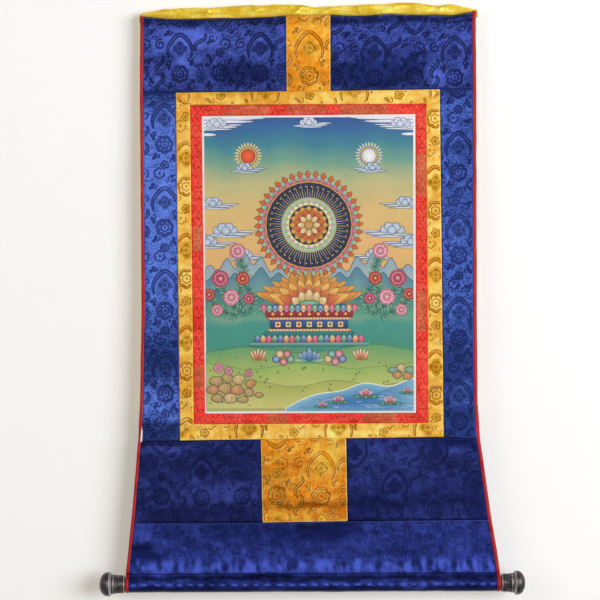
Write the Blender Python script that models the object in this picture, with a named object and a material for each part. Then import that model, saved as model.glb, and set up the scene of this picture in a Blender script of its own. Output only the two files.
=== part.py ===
"""Hanging scroll painting in a pieced silk brocade mount, with its roller, two turned caps and a thin cover.

Sizes are in millimetres and become metres where vertices are made. The middle of the top edge is at the
origin, +Z is up, +X is to the viewer's right and the front faces -Y. The cloth is modelled as it hangs,
a little aslant above a level roller. Panels meet edge to edge at their seams.
"""

import math

import bmesh
import bpy
import numpy as np

MM = 0.001
SHARP_ANGLE = math.radians(40)

# Thicknesses and the gap left between pieces that touch
CLOTH = 1.6
COVER_CLOTH = 1.2
GAP = 0.3
SEAM_INSET = 0.2

# Passes that settle a grid point between curved sides
PASSES = 6

# Roller, its place under the cloth and the sleeve round it
ROD_RADIUS = 9.7
ROD_Y = -3.7
ROD_Z = -789.6
ROD_LEFT = -275.0
ROD_RIGHT = 281.0
SLEEVE_STITCH_Z = -777.6
SLEEVE_OPENING = 32.0
SLEEVE_TAIL = 12.0
SLEEVE_LAYERS_Y = 1.2
SLEEVE_STEPS = 12
FOOT_COLUMNS = 14
FOOT_ROWS = 9

# Turned caps: where each one's inner end stands, and its profile from that end outwards
CAP_LEFT = -257.6
CAP_RIGHT = 264.9
CAP_BORE = 20.0
CAP_SIDES = 20
DOME_START = 26.0
DOME_RADIUS = 16.4
DOME_LENGTH = 9.0
DOME_STEPS = 5
CAP_PROFILE = (
    # distance, radius
    (0.0, 12.6),
    (1.8, 12.9),
    (2.4, 11.8),
    (4.0, 11.9),
    (4.6, 12.7),
    (7.2, 12.5),
    (13.0, 12.9),
    (17.6, 13.9),
    (18.6, 13.4),
    (20.4, 14.2),
    (22.0, 16.6),
    (23.4, 17.1),
    (24.8, 16.9),
)

# Red piping along both side edges
PIPING_WIDTH = 4.0
PIPING_THICKNESS = 2.2
PIPING_SIDES = 8
PIPING_STEP = 22.0

# Outer edges of the hung cloth, piping included
EDGES = (
    # height, left, right
    (5.0, -232.8, 232.6),
    (-110.0, -234.0, 233.0),
    (-260.0, -233.2, 232.5),
    (-400.0, -232.4, 232.0),
    (-540.0, -235.4, 232.7),
    (-590.0, -238.2, 235.8),
    (-632.0, -241.8, 241.8),
    (-704.0, -248.2, 251.4),
    (-745.0, -252.8, 258.6),
    (-778.0, -255.8, 263.0),
    (-801.0, -256.4, 263.6),
)

# Seams that run across the cloth, and its top edge
TOP_EDGE = ((-233, -0.9), (-190, -3.4), (-150, -4.1), (-90, -2.2), (-32, -0.3), (30, 0.7),
            (72, 0.0), (114, 1.6), (170, 0.4), (200, -0.8), (233, 4.6))
FRAME_TOP_SEAM = ((-234, -107.9), (233, -103.8))
FRAME_FOOT_SEAM = ((-240, -590.8), (-180, -590.3), (186, -586.9), (238, -589.6))
FOOT_SEAM = ((-250, -704.1), (-66, -704.7), (52, -703.0), (252, -701.0))

# Upright seams, from top to foot
TOP_STRIP = (((-30.6, 0.0), (-30.3, -106.2)), ((31.0, 0.0), (30.8, -105.2)))
LOWER_PANEL = (((-68.0, -589.4), (-66.1, -704.7)), ((50.4, -588.2), (52.0, -703.0)))

# Corners of the nested borders: top left, top right, foot right, foot left
GOLD_CORNERS = ((-184.1, -107.5), (182.6, -104.2), (185.8, -586.9), (-180.1, -590.3))
RED_CORNERS = ((-164.3, -124.7), (163.4, -124.4), (164.3, -567.4), (-160.9, -568.0))
CANVAS_CORNERS = ((-148.3, -140.2), (148.6, -138.4), (147.7, -553.3), (-145.2, -553.2))

# The hem swells over a flat stiffener, and the cloth above the roller comes forward to its sleeve
HEM_HEIGHT = 13.5
HEM_SWELL = 3.6
HEM_ROWS = (0.0, 2.2, 5.0, 8.5, 11.3, 13.5, 16.5)
TOP_PANEL_HEIGHT = 105.0
STITCH_TAPER = 10.0

# Soft ridges (positive rise) and troughs left in the cloth by rolling
FOLDS = (
    # height, rise, breadth, middle, reach, slope
    (-30.0, 0.9, 6.0, 66.0, 44.0, 0.00),
    (-62.0, 2.0, 20.0, -150.0, 80.0, 0.12),
    (-78.0, -2.2, 22.0, 120.0, 95.0, 0.28),
    (-118.0, 1.2, 12.0, 20.0, 260.0, 0.01),
    (-250.0, 1.6, 60.0, -215.0, 60.0, 0.00),
    (-330.0, 1.8, 70.0, 210.0, 60.0, 0.00),
    (-420.0, -1.4, 60.0, 0.0, 200.0, 0.03),
    (-562.0, 1.6, 10.0, -215.0, 60.0, 0.00),
    (-582.0, -2.6, 12.0, -190.0, 130.0, 0.02),
    (-604.0, 3.4, 13.0, -200.0, 90.0, 0.02),
    (-612.0, 2.6, 16.0, 200.0, 90.0, -0.08),
    (-644.0, -3.0, 18.0, 60.0, 220.0, 0.03),
    (-672.0, 3.2, 15.0, -60.0, 180.0, -0.10),
    (-686.0, -2.6, 11.0, 10.0, 120.0, 0.00),
    (-700.0, 2.0, 12.0, 150.0, 150.0, -0.05),
    (-722.0, -1.8, 13.0, -120.0, 160.0, 0.05),
    (-745.0, -3.2, 11.0, -190.0, 110.0, -0.03),
    (-752.0, -2.0, 12.0, 150.0, 160.0, 0.04),
    (-768.0, 2.6, 8.0, 0.0, 420.0, 0.00),
)

# Thin cover bunched along the top edge and hanging plainly behind
COVER_SIDES = (-234.2, 235.6)
COVER_FOOT = -566.0
COVER_SEWN_ROWS = (8.5, 5.0, 2.2, 0.6)
COVER_EASE = 0.4
COVER_TURN = 3.0
COVER_BACK_Y = 10.2
COVER_TURN_STEPS = 5
COVER_STEPS = 13
COVER_COLUMNS = 24
COVER_WAVE = 1.6
COVER_WAVE_LENGTH = 38.0
COVER_WAVE_SWAY = 90.0
COVER_CREST = ((-234.2, 2.0), (-226, 5.0), (-219, 6.4), (-199, 9.4), (-165, 11.5), (-143, 10.9),
               (-94, 14.1), (-25, 15.4), (-7, 14.9), (10, 11.4), (44, 13.4), (100, 15.4),
               (142, 17.8), (163, 15.7), (179, 12.3), (197, 15.2), (211, 12.8), (228, 8.0),
               (235.6, 6.6))
COVER_PLEATS = (
    # middle, depth, breadth, lean
    (-143.0, 1.5, 9.0, 0.3),
    (-70.0, 1.2, 8.0, -0.2),
    (-20.0, 1.6, 11.0, 0.2),
    (72.0, 1.1, 8.0, -0.3),
    (185.0, 1.8, 13.0, 0.2),
)

# name: colour, roughness, metallic
MATERIALS = {
    "blue_brocade": ((0.018, 0.028, 0.260), 0.42, 0.0),
    "gold_brocade": ((0.720, 0.330, 0.030), 0.42, 0.0),
    "red_brocade": ((0.640, 0.030, 0.018), 0.45, 0.0),
    "painted_canvas": ((0.330, 0.350, 0.150), 0.75, 0.0),
    "red_piping": ((0.500, 0.018, 0.012), 0.50, 0.0),
    "yellow_silk": ((0.800, 0.560, 0.040), 0.45, 0.0),
    "roller_wood": ((0.240, 0.130, 0.060), 0.60, 0.0),
    "dark_pewter": ((0.090, 0.082, 0.085), 0.38, 0.9),
}


def clear_scene():
    for item in list(bpy.data.objects):
        bpy.data.objects.remove(item, do_unlink=True)


def make_material(name):
    colour, roughness, metallic = MATERIALS[name]
    material = bpy.data.materials.new(name)
    material.use_nodes = True
    shader = material.node_tree.nodes["Principled BSDF"]
    shader.inputs["Base Color"].default_value = (*colour, 1.0)
    shader.inputs["Roughness"].default_value = roughness
    shader.inputs["Metallic"].default_value = metallic
    material.diffuse_color = (*colour, 1.0)
    return material


def height_along(points, x):
    """Height of a seam that is given as points from left to right."""
    xs, zs = zip(*points)
    return float(np.interp(x, xs, zs))


def edge_x(side, z):
    """Outer edge of the cloth at a height; side is -1 for the left and 1 for the right."""
    heights, lefts, rights = zip(*reversed(EDGES))
    return float(np.interp(z, heights, lefts if side < 0 else rights))


def panel_edge_x(side, z):
    """Where the cloth stops beside its piping."""
    return edge_x(side, z) - side * (PIPING_WIDTH + GAP)


def line_x(start, end):
    """Line through two points, as x for a height."""
    slope = (end[0] - start[0]) / (end[1] - start[1])
    return lambda z: start[0] + slope * (z - start[1])


def line_z(start, end):
    """Line through two points, as height for an x."""
    slope = (end[1] - start[1]) / (end[0] - start[0])
    return lambda x: start[1] + slope * (x - start[0])


def seam(points):
    return lambda x: height_along(points, x)


def swell(distance):
    """Rounded bump, 1 at distance 0 and 0 from 1 outwards."""
    return max(0.0, 1.0 - distance * distance) ** 2


def depth(x, z):
    """Where the middle of the hung cloth's thickness lies along Y."""
    fallen = min(0.0, z) / SLEEVE_STITCH_Z
    y = fallen * (ROD_Y - SLEEVE_LAYERS_Y)
    below_top = height_along(TOP_EDGE, x) - z
    y -= HEM_SWELL * swell((below_top - HEM_HEIGHT / 2) / (HEM_HEIGHT / 2))
    free = min(1.0, max(0.0, (z - SLEEVE_STITCH_Z) / STITCH_TAPER))
    for height, rise, breadth, middle, reach, slope in FOLDS:
        across = (x - middle) / reach
        along = (z - height - slope * (x - middle)) / breadth
        y -= free * rise * math.exp(-across * across - along * along)
    return y


def finished_object(name, mesh, material):
    """Object made from a bmesh, shaded smooth up to its sharp edges."""
    data = bpy.data.meshes.new(name)
    mesh.to_mesh(data)
    mesh.free()
    data.shade_smooth()
    data.set_sharp_from_angle(angle=SHARP_ANGLE)
    data.materials.append(material)
    item = bpy.data.objects.new(name, data)
    bpy.context.collection.objects.link(item)
    return item


def sheet_object(name, rows, thickness, material):
    """Closed sheet of cloth round a grid of points, one list of points for each row from the top down."""
    mesh = bmesh.new()
    grid = [[mesh.verts.new([value * MM for value in point]) for point in row] for row in rows]
    for upper, lower in zip(grid, grid[1:]):
        for (a, b), (c, d) in zip(zip(upper, upper[1:]), zip(lower, lower[1:])):
            mesh.faces.new((a, c, d, b))
    bmesh.ops.recalc_face_normals(mesh, faces=mesh.faces)
    item = finished_object(name, mesh, material)
    solidify = item.modifiers.new("Thickness", "SOLIDIFY")
    solidify.thickness = thickness * MM
    solidify.offset = 0.0
    return item


def panel_rows(left, right, top, foot, columns, fractions):
    """Grid over a panel whose four sides are curves, drawn in by the seam's inset."""
    rows = []
    for fraction in fractions:
        row = []
        for column in range(columns + 1):
            x, z = 0.0, 0.0
            for _ in range(PASSES):
                low, high = left(z) + SEAM_INSET, right(z) - SEAM_INSET
                x = low + (high - low) * column / columns
                above, below = top(x) - SEAM_INSET, foot(x) + SEAM_INSET
                z = above + (below - above) * fraction
            row.append((x, depth(x, z), z))
        rows.append(row)
    return rows


def even(steps):
    return [step / steps for step in range(steps + 1)]


def hem_fractions(steps):
    """Rows that follow the hem's swell closely and the rest of a top panel evenly."""
    hem = [row / TOP_PANEL_HEIGHT for row in HEM_ROWS]
    rest = [hem[-1] + (1.0 - hem[-1]) * part for part in even(steps)[1:]]
    return hem + rest


def add_panel(name, left, right, top, foot, columns, fractions, material):
    rows = panel_rows(left, right, top, foot, columns, fractions)
    return sheet_object(name, rows, CLOTH, material)


def add_blue_panels(material):
    top_edge, frame_top = seam(TOP_EDGE), seam(FRAME_TOP_SEAM)
    frame_foot, foot = seam(FRAME_FOOT_SEAM), seam(FOOT_SEAM)

    def left_edge(z):
        return panel_edge_x(-1, z)

    def right_edge(z):
        return panel_edge_x(1, z)

    strip_left, strip_right = (line_x(*side) for side in TOP_STRIP)
    lower_left, lower_right = (line_x(*side) for side in LOWER_PANEL)
    gold_left = line_x(GOLD_CORNERS[0], GOLD_CORNERS[3])
    gold_right = line_x(GOLD_CORNERS[1], GOLD_CORNERS[2])
    hem = hem_fractions(6)
    add_panel("blue_top_left", left_edge, strip_left, top_edge, frame_top, 8, hem, material)
    add_panel("blue_top_right", strip_right, right_edge, top_edge, frame_top, 8, hem, material)
    add_panel("blue_side_left", left_edge, gold_left, frame_top, frame_foot, 2, even(24), material)
    add_panel("blue_side_right", gold_right, right_edge, frame_top, frame_foot, 2, even(24), material)
    add_panel("blue_lower_left", left_edge, lower_left, frame_foot, foot, 7, even(12), material)
    add_panel("blue_lower_right", lower_right, right_edge, frame_foot, foot, 7, even(12), material)


def add_gold_panels(material):
    strip = [line_x(*side) for side in TOP_STRIP]
    lower = [line_x(*side) for side in LOWER_PANEL]
    add_panel("gold_top_strip", *strip, seam(TOP_EDGE), seam(FRAME_TOP_SEAM), 3,
              hem_fractions(6), material)
    add_panel("gold_lower_panel", *lower, seam(FRAME_FOOT_SEAM), seam(FOOT_SEAM), 5,
              even(12), material)


def add_border(name, outer, inner, material, top=None, foot=None):
    """Four mitred strips between nested outlines; a seam may stand in for the outer top or foot."""
    mitre_x = [line_x(outer[corner], inner[corner]) for corner in range(4)]
    mitre_z = [line_z(outer[corner], inner[corner]) for corner in range(4)]
    outer_top, outer_foot = line_z(outer[0], outer[1]), line_z(outer[3], outer[2])
    add_panel(name + "_top", mitre_x[0], mitre_x[1], top or outer_top,
              line_z(inner[0], inner[1]), 9, even(2), material)
    add_panel(name + "_foot", mitre_x[3], mitre_x[2], line_z(inner[3], inner[2]),
              foot or outer_foot, 9, even(2), material)
    add_panel(name + "_left", line_x(outer[0], outer[3]), line_x(inner[0], inner[3]),
              mitre_z[0], mitre_z[3], 1, even(20), material)
    add_panel(name + "_right", line_x(inner[1], inner[2]), line_x(outer[1], outer[2]),
              mitre_z[1], mitre_z[2], 1, even(20), material)


def add_canvas(material):
    top_left, top_right, foot_right, foot_left = CANVAS_CORNERS
    add_panel("painted_canvas", line_x(top_left, foot_left), line_x(top_right, foot_right),
              line_z(top_left, top_right), line_z(foot_left, foot_right), 8, even(18), material)


def sleeve_path(thickness):
    """Middle of a sheet from the sleeve's stitching, out and round the roller, and up behind: y and z."""
    radius = ROD_RADIUS + GAP + thickness / 2
    points = [(ROD_Y - SLEEVE_LAYERS_Y, SLEEVE_STITCH_Z)]
    for step in range(SLEEVE_STEPS + 1):
        angle = math.radians(SLEEVE_OPENING + (360 - 2 * SLEEVE_OPENING) * step / SLEEVE_STEPS)
        points.append((ROD_Y - radius * math.sin(angle), ROD_Z + radius * math.cos(angle)))
    points.append((ROD_Y + SLEEVE_LAYERS_Y, SLEEVE_STITCH_Z))
    points.append((ROD_Y + SLEEVE_LAYERS_Y + 0.4, SLEEVE_STITCH_Z + SLEEVE_TAIL))
    return points


def add_foot_panel(material):
    """Full-width panel that hangs from its seam and makes the roller's sleeve."""
    columns = FOOT_COLUMNS
    rows = []
    for fraction in even(FOOT_ROWS)[:-1]:
        row = []
        for column in range(columns + 1):
            x, z = 0.0, FOOT_SEAM[0][1]
            for _ in range(PASSES):
                low, high = panel_edge_x(-1, z), panel_edge_x(1, z)
                x = low + (high - low) * column / columns
                above = height_along(FOOT_SEAM, x) - SEAM_INSET
                z = above + (SLEEVE_STITCH_Z - above) * fraction
            row.append((x, depth(x, z), z))
        rows.append(row)
    for y, z in sleeve_path(CLOTH):
        low, high = (panel_edge_x(side, min(z, SLEEVE_STITCH_Z)) for side in (-1, 1))
        xs = [low + (high - low) * column / columns for column in range(columns + 1)]
        rows.append([(x, y, z) for x in xs])
    sheet_object("blue_foot_panel", rows, CLOTH, material)


def band_object(name, path, width, thickness, material):
    """Closed oval band along a path of points, wide along X and thin across its own run."""
    mesh = bmesh.new()
    rings = []
    for index, (x, y, z) in enumerate(path):
        before, after = path[max(0, index - 1)], path[min(len(path) - 1, index + 1)]
        run_y, run_z = after[1] - before[1], after[2] - before[2]
        length = math.hypot(run_y, run_z)
        out_y, out_z = run_z / length, -run_y / length
        ring = []
        for side in range(PIPING_SIDES):
            angle = 2 * math.pi * (side + 0.5) / PIPING_SIDES
            across = width / 2 * math.cos(angle)
            out = thickness / 2 * math.sin(angle)
            ring.append(mesh.verts.new(((x + across) * MM, (y + out * out_y) * MM, (z + out * out_z) * MM)))
        rings.append(ring)
    for upper, lower in zip(rings, rings[1:]):
        for side in range(PIPING_SIDES):
            after = (side + 1) % PIPING_SIDES
            mesh.faces.new((upper[side], upper[after], lower[after], lower[side]))
    mesh.faces.new(rings[0])
    mesh.faces.new(rings[-1])
    bmesh.ops.recalc_face_normals(mesh, faces=mesh.faces)
    return finished_object(name, mesh, material)


def add_piping(name, side, material):
    """Corded red edging from the top edge down and round the end of the roller's sleeve."""

    def centre_x(z):
        return edge_x(side, z) - side * PIPING_WIDTH / 2

    top = height_along(TOP_EDGE, side * TOP_EDGE[-1][0])
    heights = [top - row for row in HEM_ROWS]
    steps = round((heights[-1] - SLEEVE_STITCH_Z) / PIPING_STEP)
    fall = heights[-1] - SLEEVE_STITCH_Z
    heights += [heights[-1] - fall * part for part in even(steps)[1:-1]]
    path = [(centre_x(z), depth(centre_x(z), z), z) for z in heights]
    for y, z in sleeve_path(PIPING_THICKNESS)[:-2]:
        path.append((centre_x(min(z, SLEEVE_STITCH_Z)), y, z))
    band_object(name, path, PIPING_WIDTH, PIPING_THICKNESS, material)


def cover_pleat(x, rise):
    """How far the bunched cover stands forward at a place, by its height above the scroll's edge."""
    forward = 0.0
    for middle, pleat_depth, breadth, lean in COVER_PLEATS:
        across = (x - middle - lean * rise) / breadth
        forward += pleat_depth * math.exp(-across * across)
    return forward


def cover_column(x):
    """Section of the cover at one x, from its sewn edge over the crest and down behind."""
    top = height_along(TOP_EDGE, x)
    crest = height_along(COVER_CREST, x)
    points = []
    for drop in COVER_SEWN_ROWS:
        z = top - drop
        slope = (depth(x, z + 1) - depth(x, z - 1)) / 2
        offset = (CLOTH / 2 + GAP + COVER_CLOTH / 2 + COVER_EASE) * math.hypot(1, slope)
        points.append((x, depth(x, z) + offset, z))
    turn_z = max(crest - COVER_TURN, top + 0.4)
    turn_y = COVER_BACK_Y - COVER_TURN
    pleat = cover_pleat(x, turn_z - top)
    for part in even(COVER_TURN_STEPS):
        angle = math.pi * part
        reach = COVER_TURN + (pleat if part < 0.5 else 0.0)
        points.append((x, turn_y - reach * math.cos(angle), turn_z + COVER_TURN * math.sin(angle)))
    for part in even(COVER_STEPS)[1:]:
        z = turn_z + (COVER_FOOT - turn_z) * part
        phase = x / COVER_WAVE_LENGTH + math.sin(z / COVER_WAVE_SWAY) / 2
        wave = COVER_WAVE * math.sin(phase) * min(1.0, 3 * part)
        points.append((x, COVER_BACK_Y + wave, z))
    return points


def add_cover(material):
    low, high = COVER_SIDES
    xs = [low + (high - low) * part for part in even(COVER_COLUMNS)]
    sections = [cover_column(x) for x in xs]
    rows = [list(row) for row in zip(*sections)]
    sheet_object("silk_cover", rows, COVER_CLOTH, material)


def turned_object(name, profile, sides, material):
    """Solid of revolution about X from a closed profile of distances and radii."""
    mesh = bmesh.new()
    points = [mesh.verts.new((distance * MM, 0.0, radius * MM)) for distance, radius in profile]
    edges = [mesh.edges.new(pair) for pair in zip(points, points[1:])]
    bmesh.ops.spin(mesh, geom=points + edges, cent=(0, 0, 0), axis=(1, 0, 0),
                   angle=2 * math.pi, steps=sides, use_merge=True)
    bmesh.ops.remove_doubles(mesh, verts=mesh.verts, dist=1e-6)
    bmesh.ops.recalc_face_normals(mesh, faces=mesh.faces)
    return finished_object(name, mesh, material)


def add_rod(material):
    profile = ((0, 0), (0, ROD_RADIUS), (ROD_RIGHT - ROD_LEFT, ROD_RADIUS), (ROD_RIGHT - ROD_LEFT, 0))
    rod = turned_object("roller_rod", profile, CAP_SIDES, material)
    rod.location = (ROD_LEFT * MM, ROD_Y * MM, ROD_Z * MM)


def cap_profile():
    """Closed profile of a cap: up its blind bore, out to its turned rings and over its dome."""
    bore = ROD_RADIUS + GAP
    points = [(CAP_BORE, 0.0), (CAP_BORE, bore), (0.0, bore)]
    points += CAP_PROFILE
    for step in range(DOME_STEPS + 1):
        angle = math.pi / 2 * step / DOME_STEPS
        distance = DOME_START + DOME_LENGTH * math.sin(angle)
        points.append((distance, DOME_RADIUS * math.cos(angle)))
    points[-1] = (DOME_START + DOME_LENGTH, 0.0)
    return points


def add_caps(material):
    for name, side, inner_end in (("roller_cap_left", -1, CAP_LEFT), ("roller_cap_right", 1, CAP_RIGHT)):
        cap = turned_object(name, cap_profile(), CAP_SIDES, material)
        cap.location = (inner_end * MM, ROD_Y * MM, ROD_Z * MM)
        if side < 0:
            cap.rotation_euler = (0, 0, math.pi)


def build():
    clear_scene()
    materials = {name: make_material(name) for name in MATERIALS}
    add_blue_panels(materials["blue_brocade"])
    add_foot_panel(materials["blue_brocade"])
    add_gold_panels(materials["gold_brocade"])
    add_border("gold_frame", GOLD_CORNERS, RED_CORNERS, materials["gold_brocade"],
               seam(FRAME_TOP_SEAM), seam(FRAME_FOOT_SEAM))
    add_border("red_frame", RED_CORNERS, CANVAS_CORNERS, materials["red_brocade"])
    add_canvas(materials["painted_canvas"])
    add_piping("piping_left", -1, materials["red_piping"])
    add_piping("piping_right", 1, materials["red_piping"])
    add_cover(materials["yellow_silk"])
    add_rod(materials["roller_wood"])
    add_caps(materials["dark_pewter"])


build()
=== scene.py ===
"""Looks of the hanging scroll: brocades, painted canvas, piping, thin cover and the roller's turned caps.

Every place is worked out in millimetres in the part's own frame and becomes metres where a mesh is made.
The flat cloth is described by x and v: v is the height of a point, and below the sleeve's stitching it is
the distance along the cloth round the roller.
"""

import math
from contextlib import contextmanager
from functools import partial

import bpy
import numpy as np
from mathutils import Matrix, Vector


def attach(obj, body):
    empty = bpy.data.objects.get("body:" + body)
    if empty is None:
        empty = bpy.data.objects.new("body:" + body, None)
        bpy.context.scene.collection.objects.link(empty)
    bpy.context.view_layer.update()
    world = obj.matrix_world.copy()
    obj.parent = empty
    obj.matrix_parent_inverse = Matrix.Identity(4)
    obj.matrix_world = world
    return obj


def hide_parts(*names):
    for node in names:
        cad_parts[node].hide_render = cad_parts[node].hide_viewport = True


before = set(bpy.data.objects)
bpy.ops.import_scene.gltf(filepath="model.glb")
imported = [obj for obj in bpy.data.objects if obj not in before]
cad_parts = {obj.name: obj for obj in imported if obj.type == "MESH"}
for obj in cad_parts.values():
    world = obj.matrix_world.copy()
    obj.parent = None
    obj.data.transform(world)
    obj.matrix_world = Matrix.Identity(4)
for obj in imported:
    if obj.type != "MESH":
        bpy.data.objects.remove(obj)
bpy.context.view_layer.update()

MM = 0.001
TAU = 2 * math.pi

# Sizes shared with the solids
CLOTH = 1.6
GAP = 0.3
ROD_RADIUS = 9.7
ROD_Y = -3.7
ROD_Z = -789.6
SLEEVE_STITCH = -777.6
SLEEVE_OPENING = math.radians(32.0)
SLEEVE_START = math.radians(46.0)
SLEEVE_NECK = 6.5
SLEEVE_LAYERS_Y = 1.2
SLEEVE_TAIL = 12.0
CAP_LEFT = -257.6
CAP_RIGHT = 264.9
PIPING_WIDTH = 4.0
PIPING_THICKNESS = 2.2
EDGES = (
    # height, left, right
    (5, -232.8, 232.6), (-110, -234, 233), (-260, -233.2, 232.5), (-400, -232.4, 232), (-540, -235.4, 232.7),
    (-590, -238.2, 235.8), (-632, -241.8, 241.8), (-704, -248.2, 251.4), (-745, -252.8, 258.6),
    (-778, -255.8, 263), (-801, -256.4, 263.6),
)
TOP_EDGE = ((-233, -0.9), (-190, -3.4), (-150, -4.1), (-90, -2.2), (-32, -0.3), (30, 0.7),
            (72, 0.0), (114, 1.6), (170, 0.4), (200, -0.8), (233, 4.6))
FRAME_TOP_SEAM = ((-234, -107.9), (233, -103.8))
FRAME_FOOT_SEAM = ((-240, -590.8), (-180, -590.3), (186, -586.9), (238, -589.6))
FOOT_SEAM = ((-250, -704.1), (-66, -704.7), (52, -703.0), (252, -701.0))
TOP_STRIP = (((-30.6, 0.0), (-30.3, -106.2)), ((31.0, 0.0), (30.8, -105.2)))
LOWER_PANEL = (((-68.0, -589.4), (-66.1, -704.7)), ((50.4, -588.2), (52.0, -703.0)))
GOLD_CORNERS = ((-184.1, -107.5), (182.6, -104.2), (185.8, -586.9), (-180.1, -590.3))
RED_CORNERS = ((-164.3, -124.7), (163.4, -124.4), (164.3, -567.4), (-160.9, -568.0))
CANVAS_CORNERS = ((-148.3, -140.2), (148.6, -138.4), (147.7, -553.3), (-145.2, -553.2))
HEM_HEIGHT = 13.5
HEM_SWELL = 3.6
STITCH_TAPER = 10.0
STITCH_PINCH = 2.2
FOLDS = (
    # height, rise, breadth, middle, reach, slope
    (-30, 0.9, 6, 66, 44, 0), (-62, 2, 20, -150, 80, 0.12), (-78, -2.2, 22, 120, 95, 0.28),
    (-118, 1.2, 12, 20, 260, 0.01), (-250, 1.6, 60, -215, 60, 0), (-330, 1.8, 70, 210, 60, 0),
    (-420, -1.4, 60, 0, 200, 0.03), (-562, 1.6, 10, -215, 60, 0), (-582, -2.6, 12, -190, 130, 0.02),
    (-604, 3.4, 13, -200, 90, 0.02), (-612, 2.6, 16, 200, 90, -0.08), (-644, -3, 18, 60, 220, 0.03),
    (-672, 3.2, 15, -60, 180, -0.1), (-686, -2.6, 11, 10, 120, 0), (-700, 2, 12, 150, 150, -0.05),
    (-722, -1.8, 13, -120, 160, 0.05), (-745, -3.2, 11, -190, 110, -0.03), (-752, -2, 12, 150, 160, 0.04),
    (-768, 2.6, 8, 0, 420, 0),
)

# Finer creases that the solids leave out, in the same columns
CREASES = (
    (-30, 0.55, 1.4, 62, 30, 0), (-60, 0.5, 1.6, -204, 30, 0.06), (-81, 0.6, 1.6, -200, 42, 0.01),
    (-93, -0.5, 4, 90, 50, 0.15), (-577, 0.6, 3, -210, 26, 0.02), (-594, -0.7, 3, 212, 34, -0.05),
    (-607, 0.7, 3.4, 224, 16, -0.2), (-626, -0.6, 3.6, 222, 26, -0.16), (-667, 0.55, 4, -150, 70, -0.16),
    (-681, -0.8, 3, 0, 66, 0.02), (-688, 0.7, 2.6, -6, 60, 0), (-699.5, 0.45, 1.3, 180, 44, 0),
    (-713, -0.6, 3.5, 240, 22, -0.55), (-738, 0.7, 3, 238, 20, -0.45), (-752, -0.5, 4, -60, 90, 0.04),
    (-541, -0.9, 5, -212, 40, 0.02),
)
# Swelling of the cloth just above the sleeve's stitching
LIP_HEIGHT = -773.5
LIP_RISE = 4.5
LIP_BREADTH = 5.0
LIP_TAPER = 3.0
# Small unevenness of silk that has been rolled: height, pitch and seed of each layer
RIPPLES = ((0.42, 62.0, 3), (0.20, 26.0, 7), (0.05, 11.0, 11))
# Share of each layer that is left in the painted canvas, which is stiffer
CANVAS_SHARES = (0.6, 0.15, 0.0)

FRONT = CLOTH / 2
SHEET = 0.9
SLEEVE_OUTER = ROD_RADIUS + GAP + CLOTH
# Flat length of cloth from the sleeve's stitching to its tail
SLEEVE_LENGTH = SLEEVE_NECK + SLEEVE_OUTER * (TAU - SLEEVE_START - SLEEVE_OPENING) + SLEEVE_TAIL


def along(points, x):
    xs, zs = zip(*points)
    return np.interp(x, xs, zs)


def edge_x(side, z):
    heights, lefts, rights = zip(*reversed(EDGES))
    return np.interp(z, heights, lefts if side < 0 else rights)


def panel_edge_x(side, z):
    return edge_x(side, z) - side * PIPING_WIDTH


def line_x(start, end):
    slope = (end[0] - start[0]) / (end[1] - start[1])
    return lambda z: start[0] + slope * (z - start[1])


def line_z(start, end):
    slope = (end[1] - start[1]) / (end[0] - start[0])
    return lambda x: start[1] + slope * (x - start[0])


def level(height):
    return lambda x: height + 0 * x


def bell(distance, breadth):
    """1 at no distance, falling away over a breadth."""
    return np.exp(-((distance / breadth) ** 2))


def ridges(table, x, z):
    """Sum of soft ridges and troughs, positive towards the viewer."""
    total = np.zeros(np.broadcast(x, z).shape)
    for height, rise, breadth, middle, reach, slope in table:
        total += rise * bell(x - middle, reach) * bell(z - height - slope * (x - middle), breadth)
    return total


def ripple(x, z, pitch, seed):
    """Smooth uneven surface of about one pitch, from waves in seeded directions."""
    draw = np.random.default_rng(seed)
    total = np.zeros(np.broadcast(x, z).shape)
    waves = 7
    for _ in range(waves):
        turn, phase = draw.uniform(0, TAU, 2)
        stretch = draw.uniform(0.7, 1.5)
        run = (x * 0.7 * math.cos(turn) + z * 1.2 * math.sin(turn)) * TAU / (pitch * stretch)
        total += np.sin(run + phase + 0.8 * np.sin(run * 0.37 + 2 * phase))
    return total / math.sqrt(waves)


def depth(x, z):
    """Middle of the solids' cloth along Y."""
    y = np.minimum(0.0, z) / SLEEVE_STITCH * (ROD_Y - SLEEVE_LAYERS_Y)
    below_top = along(TOP_EDGE, x) - z
    distance = (below_top - HEM_HEIGHT / 2) / (HEM_HEIGHT / 2)
    y = y - HEM_SWELL * np.maximum(0.0, 1.0 - distance * distance) ** 2
    free = np.clip((z - SLEEVE_STITCH) / STITCH_TAPER, 0.0, 1.0)
    return y - free * ridges(FOLDS, x, z)


def cloth_looseness(x, z):
    """From 0 over the painted canvas to 1 beyond its borders."""
    across = np.clip((np.abs(x) - 148) / 22, 0.0, 1.0)
    up = np.clip((np.abs(z + 346) - 207) / 22, 0.0, 1.0)
    return np.maximum(across, up)


def cloth_front(x, z):
    """Front face of the hung cloth along Y, with its finer creases."""
    above = z - SLEEVE_STITCH
    fine = ridges(CREASES, x, z)
    loose = cloth_looseness(x, z)
    for (height, pitch, seed), share in zip(RIPPLES, CANVAS_SHARES):
        fine = fine + height * ripple(x, z, pitch, seed) * (share + (1 - share) * loose)
    fine = fine + 0.5 * bell(along(TOP_EDGE, x) - z - HEM_HEIGHT - 1.2, 1.1)
    fine = fine + 0.5 * bell(z + 768.0, 8.0) * ripple(x, z * 0.12, 14.0, 17)
    lip = LIP_RISE * bell(z - LIP_HEIGHT, LIP_BREADTH) * np.clip(above / LIP_TAPER, 0.0, 1.0)
    free = np.clip(above / 6.0, 0.0, 1.0)
    return depth(x, z) - FRONT - free * fine - lip + STITCH_PINCH * bell(above, 2.2)


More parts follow.
